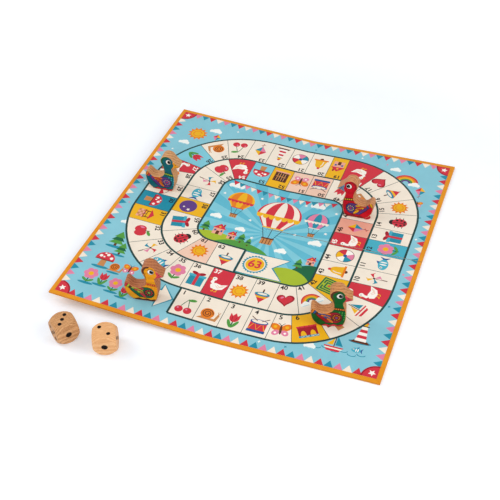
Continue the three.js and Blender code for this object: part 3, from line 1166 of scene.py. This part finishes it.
printed_paper = make_printed_paper()
orange_paper = make_plain_paper("orange_paper", "E59A1E", "D7830E", 1600.0, 0.5)
# A darker copy of the orange paper: painted shade for the board's upright sides.
orange_paper_side_shade = make_plain_paper("orange_paper_side_shade", "DB8F1A", "C97C10", 1600.0, 0.6)
greyboard = make_plain_paper("greyboard", "B3A99C", "8B8176", 900.0, 0.85)

# The two bodies that each fold joins
folds = {"front_crease": ("front_left_panel", "front_right_panel"),
         "back_crease": ("back_left_panel", "back_right_panel"),
         "side_crease": ("front_left_panel", "back_left_panel")}
groove_depth = 0.18
crease_columns = 4
crease_smoothness = 40


def crease_outlines(crease):
    """Narrow strips along a fold, side by side across it."""
    width = 2 * fold_half / crease_columns
    for column in range(crease_columns):
        low = -fold_half + width * column
        if crease == "side_crease":
            yield block(-sheet_edge, low, 0, low + width)
        elif crease == "front_crease":
            yield block(low, -sheet_edge, low + width, -fold_half)
        else:
            yield block(low, fold_half, low + width, sheet_edge)


def bend_at_fold(piece):
    """Puts the place of a piece that lies across a fold into its mesh."""
    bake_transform(piece)


def make_print():
    """The printed sheet: four quarters, and the strips along the folds."""
    targets = {
        "front_left": block(-sheet_edge, -sheet_edge, -fold_half, -fold_half),
        "front_right": block(fold_half, -sheet_edge, sheet_edge, -slit_half),
        "back_left": block(-sheet_edge, fold_half, -fold_half, sheet_edge),
        "back_right": block(fold_half, slit_half, sheet_edge, sheet_edge),
    }
    for crease in folds:
        for column, outline in enumerate(crease_outlines(crease)):
            targets[(crease, column)] = outline
    points, cells = cut_drawing(targets, draw_board())
    for quarter, turn in quarter_frames.items():
        mesh = drawn_mesh(quarter, points, cells[quarter], lambda x, y: turn @ Vector((x, y, 0)))
        piece = new_piece(quarter + "_print", mesh)
        thicken(piece, turn.to_3x3() @ Vector((0, 0, -sheet_thickness)))
        piece.data.materials.append(printed_paper)
        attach(piece, quarter + "_panel")
        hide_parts(quarter + "_printed_sheet")
    for crease in folds:
        across = 1 if crease == "side_crease" else 0

        def place(x, y):
            sunk = groove_depth * (1 - abs((x, y)[across]) / fold_half)
            return on_board(x, y, -sunk)

        strips = [cell for column in range(crease_columns) for cell in cells[(crease, column)]]
        piece = new_piece(crease + "_print", drawn_mesh(crease, points, strips, place))
        thicken(piece, Vector((0, 0, -sheet_thickness * MM)))
        smooth(piece, crease_smoothness)
        piece.data.materials.append(printed_paper)
        bend_at_fold(piece)


make_print()

# The backing sheet: it goes round the board's outer edges and comes back over the top as the border
edge_softness = 0.4
seam_width = 0.7
seam_depth = 0.7 * sheet_thickness
flap_gap = 0.1  # between the turned-in flap and the printed sheet
edge_segments = 4
near = 0.01  # a point this near to a face of the board is on it
sideways = 0.6  # a face is on the board's side if its normal rises or falls less than this


def is_outer_edge(points):
    """True for an edge, by its two points on the flat board, where the backing bends round the board."""
    def on_face(axis, value):
        return all(abs(abs(point[axis]) - value) < near for point in points)

    at_side, at_end = on_face(0, panel_side), on_face(1, panel_side)
    at_top, at_bottom = on_face(2, 0), on_face(2, board_thickness)
    return (at_side and at_end) or ((at_side or at_end) and (at_top or at_bottom))


def carve_mitre(piece, quarter):
    """A fine seam at the board's corner, where the two turned-in flaps of the backing meet."""
    border = panel_side - sheet_edge
    right = 1 if quarter.endswith("right") else -1
    back = 1 if quarter.startswith("back") else -1
    middle = panel_side - border / 2
    length = 2 * border
    bpy.ops.object.select_all(action="DESELECT")
    bpy.ops.mesh.primitive_cube_add(size=1)
    blade = bpy.context.object
    turn = Matrix.Rotation(math.radians(45 * right * back), 4, "Z")
    shape = Matrix.Diagonal((length, seam_width, 2 * seam_depth, 1))
    corner = quarter_frames[quarter] @ Matrix.Translation((right * middle, back * middle, 0))
    blade.data.transform(corner @ turn @ shape)
    carve(piece, blade, "DIFFERENCE")


def dress_backing(piece):
    """Orange paper, with painted shade on the board's sides: a darker copy of it on every face that stands
    upright.
    """
    piece.data.materials.clear()
    piece.data.materials.append(orange_paper)
    piece.data.materials.append(orange_paper_side_shade)
    for face in piece.data.polygons:
        face.material_index = 1 if abs(face.normal.z) < sideways else 0


def make_backing(quarter):
    """The backing of one quarter, with the soft edges of paper that is bent and not cut."""
    node = quarter + "_backing"
    piece = new_piece(quarter + "_wrap", frame["nodes"][node].data.copy())
    flat = quarter_frames[quarter].inverted()
    select_only(piece)
    bpy.ops.mesh.customdata_custom_splitnormals_clear()
    bpy.ops.object.mode_set(mode="EDIT")
    bpy.ops.mesh.select_all(action="SELECT")
    bpy.ops.mesh.remove_doubles(threshold=1e-6)
    bpy.ops.mesh.dissolve_limited(angle_limit=math.radians(1))
    bpy.ops.mesh.select_mode(type="EDGE")
    bpy.ops.mesh.select_all(action="DESELECT")
    bpy.ops.object.mode_set(mode="OBJECT")
    for edge in piece.data.edges:
        edge.select = is_outer_edge([flat @ piece.data.vertices[corner].co for corner in edge.vertices])
    bpy.ops.object.mode_set(mode="EDIT")
    bpy.ops.mesh.bevel(offset=edge_softness * MM, segments=edge_segments, affect="EDGES")
    bpy.ops.object.mode_set(mode="OBJECT")
    carve_mitre(piece, quarter)
    smooth(piece)
    dress_backing(piece)
    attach(piece, quarter + "_panel")
    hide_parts(node)


def make_backing_crease(crease):
    """The backing where it bends at a fold: underneath, round the edge and over the border."""
    low = -board_thickness
    inner_low = low + sheet_thickness
    inner_side = panel_side - sheet_thickness
    flap_end = sheet_edge + flap_gap
    profile = [(crease_half, low), (panel_side, low), (panel_side, 0), (flap_end, 0),
               (flap_end, -sheet_thickness), (inner_side, -sheet_thickness), (inner_side, inner_low),
               (crease_half, inner_low)]
    mesh = bpy.data.meshes.new(crease)
    mesh.from_pydata([(along, -crease_half, z) for along, z in profile], [], [list(range(len(profile)))])
    piece = new_piece(crease + "_wrap", mesh)
    select_only(piece)
    bpy.ops.object.mode_set(mode="EDIT")
    bpy.ops.mesh.select_all(action="SELECT")
    step = 2 * crease_half / crease_columns
    for column in range(crease_columns):
        bpy.ops.mesh.extrude_region_move(TRANSFORM_OT_translate={"value": (0, step, 0)})
    bpy.ops.object.mode_set(mode="OBJECT")
    for point in piece.data.vertices:
        along, across, z = point.co
        if crease == "side_crease":
            point.co = on_board(-along, across, z)
        else:
            point.co = on_board(across, -along if crease == "front_crease" else along, z)
    face_outwards(piece)
    smooth(piece, crease_smoothness)
    dress_backing(piece)
    bend_at_fold(piece)


for quarter in quarter_frames:
    make_backing(quarter)
    core = frame["nodes"][quarter + "_core"]
    core.data.materials.clear()
    core.data.materials.append(greyboard)
for crease in folds:
    make_backing_crease(crease)

# Goose pawns. Each plank's side is drawn in its own plane: reach forward from the front end of its base,
# and height above the board.
goose_thickness = 15
goose_edge_ease = 0.8
stand_clearance = 0.3
base_length = 21
breast = Vector((5.5, 21))
throat = Vector((2, 39.5))
beak_tip = Vector((12.5, 45))
beak_tip_half = 1
head = Vector((-5, 50.5))
head_radius = 9.2
neck_back = Vector((-9.5, 32))
saddle = Vector((-23, 21.5))
tail_crown = Vector((-33.5, 28.5))
tail_tip = Vector((-36.5, 22))
brow_angle = 20
nape_angle = 205
curve_steps = 10


def curve(start, first, second, end):
    """Points of a curve with two handles, without its start."""
    return [tuple(point) for point in interpolate_bezier(start, first, second, end, curve_steps + 1)[1:]]


def bow(start, handle, end):
    """Points of a curve with one handle, without its start."""
    return curve(start, start.lerp(handle, 2 / 3), end.lerp(handle, 2 / 3), end)


def goose_outline():
    """Side view of the goose, facing +X."""
    brow, nape = (Vector(arc(*head, head_radius, head_radius, angle, angle)[0])
                  for angle in (brow_angle, nape_angle))
    beak_low, beak_high = (beak_tip + Vector((0, side * beak_tip_half)) for side in (-1, 1))
    toe, heel = Vector((0, 0)), Vector((-base_length, 0))
    outline = [tuple(heel), tuple(toe)]
    outline += curve(toe, Vector((0.7 * breast.x, 0.1 * breast.y)),
                     Vector((breast.x, 0.55 * breast.y)), breast)
    outline += curve(breast, Vector((breast.x, breast.lerp(throat, 0.4).y)),
                     Vector((throat.x, breast.lerp(throat, 0.6).y)), throat)
    outline += bow(throat, Vector((throat.lerp(beak_low, 0.5).x, throat.lerp(beak_low, 0.6).y)), beak_low)
    outline += [tuple(beak_high)]
    outline += bow(beak_high, Vector((brow.lerp(beak_high, 0.5).x, brow.lerp(beak_high, 0.7).y)), brow)
    outline += arc(*head, head_radius, head_radius, brow_angle, nape_angle, 7)[1:]
    outline += curve(nape, Vector((nape.lerp(neck_back, 0.6).x, nape.lerp(neck_back, 0.3).y)),
                     Vector((neck_back.x, nape.lerp(neck_back, 0.6).y)), neck_back)
    outline += curve(neck_back, Vector((neck_back.x, neck_back.lerp(saddle, 0.6).y)),
                     Vector((neck_back.lerp(saddle, 0.4).x, saddle.y)), saddle)
    outline += curve(saddle, Vector((saddle.lerp(tail_crown, 0.5).x, saddle.y)),
                     Vector((saddle.lerp(tail_crown, 0.6).x, tail_crown.y)), tail_crown)
    outline += bow(tail_crown, Vector((tail_tip.x, tail_crown.y)), tail_tip)
    outline += curve(tail_tip, Vector((tail_tip.x, 0.5 * tail_tip.y)),
                     Vector((tail_tip.lerp(heel, 0.4).x, 0)), heel)
    return outline[:-1]


eye_middle = (-2.6, 50.4)
shoulder = (-8, 14.5)
rosette = (-6, 14.5)
beak_edge = [(3.4, 34), (2.2, 40.6), (4.6, 45.4), (3, 50.4), (5, 55), (24, 55), (24, 34)]
wing_tail = [(-20, 22), (-33.5, 25), (-27.5, 15.5), (-18, 6)]


def paint_head(paint):
    """Nape, beak and eye."""
    nape = arc(*head, 12, 12, 78, 212, 10) + arc(*head, 5.8, 5.8, 200, 92, 12)
    drawing = [(paint["cap"], nape)]
    for place in range(4):
        x, y = -10.8 + 0.5 * place, 46.6 - 3.2 * place
        drawing.append((paint["cap"], moved(oval(2.2 - 0.3 * place, 0.8), x, y, -35)))
    drawing += [("ink", offset_points(beak_edge, 0.6, True)), (paint["beak"], beak_edge),
                ("ink", line([(5, 44.2), (10, 44.4), (24, 43.6)], 0.5)),
                ("ink", moved(oval(1, 0.45), 7.2, 47, -20))]
    x, y = eye_middle
    # The eye: an ink rim, a white, a pupil and a brow line. The small white dot on the pupil is a painted
    # glint.
    drawing += [("ink", oval(4, 4.1, x, y)), ("white", oval(3.6, 3.7, x, y)),
                ("pupil", oval(2.5, 2.8, x + 0.9, y)), ("white", oval(0.4, x=x + 1.9, y=y + 1.5)),
                ("ink", line(arc(x, y, 5.2, 5.4, 50, 130, 20), 0.6))]
    return drawing


def paint_collar(paint):
    """A beaded band at the foot of the neck, with rows of small breast feathers under it."""
    band = [(-24, 31.6), (14, 26.6)]
    drawing = [("ink", line(band, 4.6)), (paint["collar"], line(band, 3.6))]
    for bead in range(8):
        drawing.append((paint["bead"], oval(1.05, x=-12 + 2.7 * bead, y=30 - 0.355 * bead)))
    for row in range(4):
        for place in range(3):
            x, y = 4.2 - 3.4 * place - 0.4 * row, 22.8 - 3.6 * row + 0.4 * place
            drawing.append((paint["speck"], moved(oval(0.75, 1.25), x, y, -12)))
    return drawing


def paint_wing(paint):
    """A round shoulder with long feathers that run back to the tail."""
    wing = arc(*shoulder, 8.2, 8.6, -100, 100, 10) + wing_tail
    drawing = [("ink", offset_points(wing, 0.8, True)), (paint["wing"], wing)]
    first, second, third = paint["feathers"]
    for place in range(5):
        angle = 172 - 9 * place
        reach = 13.5 - 0.8 * abs(place - 1)
        x = shoulder[0] + reach * math.cos(math.radians(angle)) + 0.6 * place
        y = shoulder[1] + 5.6 - 3.4 * place + 0.42 * reach * math.sin(math.radians(angle))
        feather = moved(oval(8.6 - 0.9 * place, 1.6), x, y, angle)
        drawing += [("ink", moved(oval(9.1 - 0.9 * place, 2), x, y, angle)),
                    (second if place % 2 else first, feather),
                    ("ink", moved(line([(-6 + place, 0), (6 - place, 0)], 0.3), x, y, angle))]
    x, y = rosette
    drawing += [("ink", oval(5.9, x=x, y=y)), (third, oval(5.4, x=x, y=y))]
    spots = arc(x, y, 3.9, 3.9, 0, 360, 40)[:-1]
    drawing += dots(first, 0.75, *spots)
    return drawing + [(paint["wing"], oval(2.3, x=x, y=y)), (second, star(6, 1.9, 0.8, x, y))]


def paint_tail_and_foot(paint):
    """Tail feathers, each in its own colour, and a webbed foot along the base."""
    drawing = []
    for place in range(3):
        feather = moved(oval(4.2, 1.2), -33.4 + 2.6 * place, 25.4 - 1.5 * place, 66 - 6 * place)
        drawing += [("ink", offset_points(feather, 0.4, True)), (paint["feathers"][place], feather)]
    rim = [(-26, -2), (6, -2), (6, 2.2), (1, 4.4), (-4, 2.6), (-9, 4.4), (-14, 2.6), (-19, 4.4), (-26, 1)]
    web = [(-26, -3), (6, -3), (6, 1.6), (1, 3.6), (-4, 1.8), (-9, 3.6), (-14, 1.8), (-19, 3.6), (-26, 0)]
    return drawing + [("ink", rim), (paint["foot"], web)]


def goose_paint(paint):
    """What is painted on a goose's side, in its own colours."""
    drawing = [(paint["body"], block(-60, -10, 40, 80))]
    for paint_part in (paint_collar, paint_wing, paint_tail_and_foot, paint_head):
        drawing += paint_part(paint)
    return drawing


goose_paints = {
    "yellow": {
        "body": "goose_yellow", "cap": "brown", "beak": "beak_red", "collar": "orange",
        "bead": "deep_red", "speck": "orange", "wing": "dark_green", "feathers": ["red", "lime", "brown"],
        "foot": "brown"},
    "teal": {
        "body": "goose_teal", "cap": "dark_green", "beak": "beak_yellow", "collar": "dark_green",
        "bead": "lime", "speck": "pale_teal", "wing": "violet", "feathers": ["orange", "red", "blue"],
        "foot": "red"},
    "red": {
        "body": "goose_red", "cap": "deep_red", "beak": "beak_grey", "collar": "brown",
        "bead": "yellow", "speck": "deep_red", "wing": "violet", "feathers": ["yellow", "red", "blue"],
        "foot": "deep_red"},
    "green": {
        "body": "goose_green", "cap": "brown", "beak": "beak_red", "collar": "brown",
        "bead": "orange", "speck": "green", "wing": "deep_red", "feathers": ["orange", "blue", "brown"],
        "foot": "red"},
}

# The bare wood of each plank: its light tone, its dark one and its pores
plank_tones = {
    "yellow": ("C8804F", "935030", "5E2E16"),
    "teal": ("E2AE76", "A86E42", "704022"),
    "red": ("E0A06C", "A4643C", "6E3A1C"),
    "green": ("DE9D60", "A26236", "6C391B"),
}
plank_rings = 95.0
plank_ring_depth = 0.3
plank_heart = 38  # from the plank to the heart of its tree

# Where each pawn stands: the front end of its base, in from its quarter's outer edges, and the way it faces
goose_places = {
    "yellow": ("front_left", 128, 32.5, 12),
    "teal": ("back_left", 62, 188, 6),
    "red": ("back_right", 117, 151.5, 181),
    "green": ("front_right", 65.5, 70, 15),
}


def ordered_rim(cells):
    """The outer points of flat cells, anticlockwise."""
    sides = {(a, b) for cell, _ in cells for a, b in zip(cell, cell[1:] + cell[:1])}
    following = {a: b for a, b in sides if (b, a) not in sides}
    start = next(iter(following))
    rim = [start]
    while following[rim[-1]] != start:
        rim.append(following[rim[-1]])
    return rim


ease_steps = 4


def make_plank(paint):
    """A plank with its near side on y = 0: two painted sides, and bare wood round its eased edges."""
    outline = goose_outline()
    side = offset_points(outline, -goose_edge_ease, True)
    points, cells = cut_drawing({"side": side}, goose_paint(paint))
    cells = [(list(cell), ink) for cell, ink in cells["side"]]
    rim = ordered_rim(cells)
    rim_points = [tuple(points[corner]) for corner in rim]
    used = sorted({corner for cell, _ in cells for corner in cell})
    order = {corner: index for index, corner in enumerate(used)}
    places = [(points[corner][0], 0, points[corner][1]) for corner in used]
    places += [(x, goose_thickness, z) for x, _, z in places]
    count = len(used)
    faces = [[order[corner] for corner in cell] for cell, _ in cells]
    faces += [[corner + count for corner in face[::-1]] for face in faces]
    colours = [ink for _, ink in cells] * 2
    painted = len(faces)
    rings = [[order[corner] for corner in rim]]
    for step in list(range(1, ease_steps + 1)) + list(range(ease_steps, 0, -1)):
        angle = math.radians(90 * step / ease_steps)
        depth = goose_edge_ease * (1 - math.cos(angle))
        if len(rings) > ease_steps:
            depth = goose_thickness - depth
        ring = offset_points(rim_points, goose_edge_ease * math.sin(angle), True)
        rings.append(list(range(len(places), len(places) + len(ring))))
        places += [(x, depth, z) for x, z in ring]
    rings.append([order[corner] + count for corner in rim])
    for first, second in zip(rings, rings[1:]):
        for place in range(len(first)):
            after = (place + 1) % len(first)
            faces.append([first[place], first[after], second[after], second[place]])
    colours += ["tan"] * (len(faces) - painted)
    mesh = bpy.data.meshes.new("plank")
    mesh.from_pydata(places, [], faces)
    ink_cells(mesh, colours)
    for face in mesh.polygons:
        face.material_index = 0 if face.index < painted else 1
    return mesh


def make_goose(name, paint):
    """A goose pawn on its square."""
    quarter, from_side, from_end, facing = goose_places[name]
    right, back = quarter.endswith("right"), quarter.startswith("back")
    x = (panel_side - from_side) * (1 if right else -1)
    y = (panel_side - from_end) * (1 if back else -1)
    faces_left = math.cos(math.radians(facing)) < 0
    stand = quarter_frames[quarter] @ Matrix.Translation((x, y, stand_clearance))
    stand = stand @ Matrix.Rotation(math.radians(facing), 4, "Z")
    stand = stand @ Matrix.Translation((0, -goose_thickness if faces_left else 0, 0))
    piece = new_piece(name + "_goose_plank", make_plank(paint))
    piece.data.transform(stand)
    face_outwards(piece)
    smooth(piece)
    heart = stand @ Vector((-base_length / 2, -plank_heart, saddle.y))
    turn = math.radians(facing)
    grain = (turn, heart, plank_rings, plank_ring_depth)
    piece.data.materials.append(make_painted_wood(name + "_paint", *grain))
    piece.data.materials.append(make_bare_wood(name + "_plank_edge", plank_tones[name], *grain))
    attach(piece, name + "_pawn")
    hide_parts(name + "_goose")


for name, paint in goose_paints.items():
    make_goose(name, paint)

# Dice
die_side = 28
die_roundness = 19.4
pip_diameter = 4.8
ace_diameter = 7.6
pip_depth = 1
pip_pitch = 5.6
die_rings = 150.0
die_ring_depth = 0.35
die_heart = (0, 34, 16)  # from the die's middle to the heart of its tree
die_rim_softness = 0.5
die_rim_angle = 25
rounding_ball = (128, 64)  # segments round it, and rings
drill_ball = (64, 40)
well_reach = 0.04  # how near a drill's surface a point lies when it is in that drill's well
pips = {
    1: [(0, 0)],
    2: [(-1, 1), (1, -1)],
    3: [(-1, -1), (0, 0), (1, 1)],
    4: [(-1, -1), (-1, 1), (1, -1), (1, 1)],
    5: [(-1, -1), (-1, 1), (0, 0), (1, -1), (1, 1)],
    6: [(-1, -1), (-1, 0), (-1, 1), (1, -1), (1, 0), (1, 1)],
}
# Turns that bring a die's top to each of its sides
side_turns = {
    "top": Matrix.Identity(4),
    "bottom": Matrix.Rotation(math.pi, 4, "X"),
    "right": Matrix.Rotation(math.pi / 2, 4, "Y"),
    "left": Matrix.Rotation(-math.pi / 2, 4, "Y"),
    "back": Matrix.Rotation(-math.pi / 2, 4, "X"),
    "front": Matrix.Rotation(math.pi / 2, 4, "X"),
}


def add_ball(radius, place, segments, rings):
    """A ball to cut with."""
    bpy.ops.object.select_all(action="DESELECT")
    bpy.ops.mesh.primitive_uv_sphere_add(radius=radius, location=place, segments=segments, ring_count=rings)
    return bpy.context.object


def make_die(name, values, turn, tones):
    """A rounded wooden die with stained pips, where its CAD node lies."""
    low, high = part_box(name)
    middle = (low + high) / 2
    bpy.ops.object.select_all(action="DESELECT")
    bpy.ops.mesh.primitive_cube_add(size=die_side * MM)
    piece = bpy.context.object
    piece.name = name + "_cube"
    carve(piece, add_ball(die_roundness * MM, (0, 0, 0), *rounding_ball), "INTERSECT")
    soften = piece.modifiers.new("soften", "BEVEL")
    soften.width = die_rim_softness * MM
    soften.segments = 3
    soften.limit_method = "ANGLE"
    soften.angle_limit = math.radians(die_rim_angle)
    apply_modifiers(piece)
    drills, wells = [], []
    for side, value in values.items():
        radius = (ace_diameter if value == 1 else pip_diameter) / 2
        drill = (radius ** 2 + pip_depth ** 2) / (2 * pip_depth)
        for across, up in pips[value]:
            spot = Vector((across * pip_pitch, up * pip_pitch, die_side / 2 + drill - pip_depth)) * MM
            centre = side_turns[side] @ spot
            drills.append(add_ball(drill * MM, centre, *drill_ball))
            wells.append((centre, drill * MM))
    select_only(drills[0])
    for drill in drills:
        drill.select_set(True)
    bpy.ops.object.join()
    carve(piece, drills[0], "DIFFERENCE")
    piece.data.materials.clear()
    heart = middle + Matrix.Rotation(turn, 3, "Z") @ Vector(die_heart) * MM
    wood = make_bare_wood(name + "_wood", tones, turn, heart, die_rings, die_ring_depth)
    piece.data.materials.append(wood)
    piece.data.materials.append(pip_stain)
    reach = well_reach * MM
    for face in piece.data.polygons:
        corners = [piece.data.vertices[corner].co for corner in face.vertices]
        in_well = any(all(abs((corner - centre).length - radius) < reach for corner in corners)
                      for centre, radius in wells)
        face.material_index = 1 if in_well else 0
    piece.rotation_euler = (0, 0, turn)
    piece.location = middle
    settle_place(piece)
    face_outwards(piece)
    smooth(piece, die_rim_angle)
    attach(piece, name + "_body")
    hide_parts(name)


pip_stain = make_pip_stain("pip_stain")
make_die("left_die", {"top": 3, "bottom": 4, "right": 2, "left": 5, "back": 6, "front": 1},
         math.radians(53), ("E2AC76", "A87040", "71421E"))
make_die("right_die", {"top": 2, "bottom": 5, "right": 3, "left": 4, "back": 6, "front": 1},
         math.radians(23), ("F0BC86", "D8985E", "B8763F"))

# Stage: a pale floor that fades into a white background
floor_size = 12
floor_drop = 0.0002  # keeps the floor just clear of the board's underside
floor_glow = 0.11
far_floor_glow = 0.9
floor_fade = (0.4, 1.4)  # metres from the middle, where the glow starts to rise and where it is full


def seen_rays(tree):
    """1 for rays that show a background: from the camera, in reflections and through glass."""
    rays = tree.nodes.new("ShaderNodeLightPath").outputs
    seen = combined(tree, "MAXIMUM", rays["Is Camera Ray"], rays["Is Glossy Ray"])
    return combined(tree, "MAXIMUM", seen, rays["Is Transmission Ray"])


def make_floor_paper():
    """White paper that takes shadows, and reads as white to the camera beyond the lamps' reach."""
    material = make_plain_paper("floor_paper", "F3F8FF", "F0F5FC", 60.0, 0.8)
    tree = material.node_tree
    shader = tree.nodes["Principled BSDF"]
    place = tree.nodes.new("ShaderNodeTexCoord").outputs["Object"]
    distance = tree.nodes.new("ShaderNodeVectorMath")
    distance.operation = "LENGTH"
    tree.links.new(place, distance.inputs[0])
    glow = spread(tree, distance.outputs["Value"], floor_glow, far_floor_glow, *floor_fade)
    shader.inputs["Emission Color"].default_value = (1, 1, 1, 1)
    tree.links.new(combined(tree, "MULTIPLY", seen_rays(tree), glow), shader.inputs["Emission Strength"])
    return material


def make_floor():
    """A large pale floor under the set."""
    bpy.ops.object.select_all(action="DESELECT")
    bpy.ops.mesh.primitive_plane_add(size=floor_size, location=(0, 0, -floor_drop))
    floor = bpy.context.object
    floor.name = "floor"
    settle_place(floor)
    floor.data.materials.append(make_floor_paper())


make_floor()

# Soft, even light
world_strength = 0.6


def make_world():
    """An even white sky, at full white where it is seen."""
    world = bpy.data.worlds.new("studio")
    world.use_nodes = True
    tree = world.node_tree
    sky = tree.nodes["Background"]
    sky.inputs["Color"].default_value = (1, 1, 1, 1)
    strength = spread(tree, seen_rays(tree), world_strength, 1.0, 0.0, 1.0)
    tree.links.new(strength, sky.inputs["Strength"])
    bpy.context.scene.world = world


make_world()


def add_softbox(name, place, size, power):
    """A square lamp that looks at the board's middle."""
    bpy.ops.object.light_add(type="AREA", location=place)
    lamp = bpy.context.object
    lamp.name = name
    lamp.data.shape = "SQUARE"
    lamp.data.size = size
    lamp.data.energy = power
    lamp.rotation_euler = (board_middle - Vector(place)).to_track_quat("-Z", "Y").to_euler()


add_softbox("right_softbox", (1.3, -0.25, 1.1), 1.0, 8)
add_softbox("left_softbox", (-1.3, -0.25, 1.1), 1.0, 8)
add_softbox("front_softbox", (0.5, -1.5, 1.1), 1.4, 9)

# Camera, where the photograph was taken from
camera_azimuth = math.radians(22.4345)
camera_elevation = math.radians(42.055)
camera_roll = math.radians(-2.9396)
camera_distance = 1.2203
aim_left = 0.00717  # what the camera looks at, on the table, from the board's middle
aim_forward = 0.0434
camera_target = Vector((board_middle.x - aim_left, board_middle.y - aim_forward, 0))
camera_lens = 67.312
camera_sensor = 36


def make_camera():
    """The camera looks down on the board from the front right, a little rolled."""
    back = Vector((math.sin(camera_azimuth) * math.cos(camera_elevation),
                   -math.cos(camera_azimuth) * math.cos(camera_elevation), math.sin(camera_elevation)))
    right = Vector((0, 0, 1)).cross(back).normalized()
    up = back.cross(right)
    rolled_right = right * math.cos(camera_roll) + up * math.sin(camera_roll)
    rolled_up = up * math.cos(camera_roll) - right * math.sin(camera_roll)
    bpy.ops.object.camera_add()
    camera = bpy.context.object
    camera.data.lens = camera_lens
    camera.data.sensor_width = camera_sensor
    turn = Matrix((rolled_right, rolled_up, back)).transposed().to_4x4()
    camera.matrix_world = Matrix.Translation(camera_target + back * camera_distance) @ turn
    bpy.context.scene.camera = camera


make_camera()
bpy.context.scene.view_settings.view_transform = "Standard"
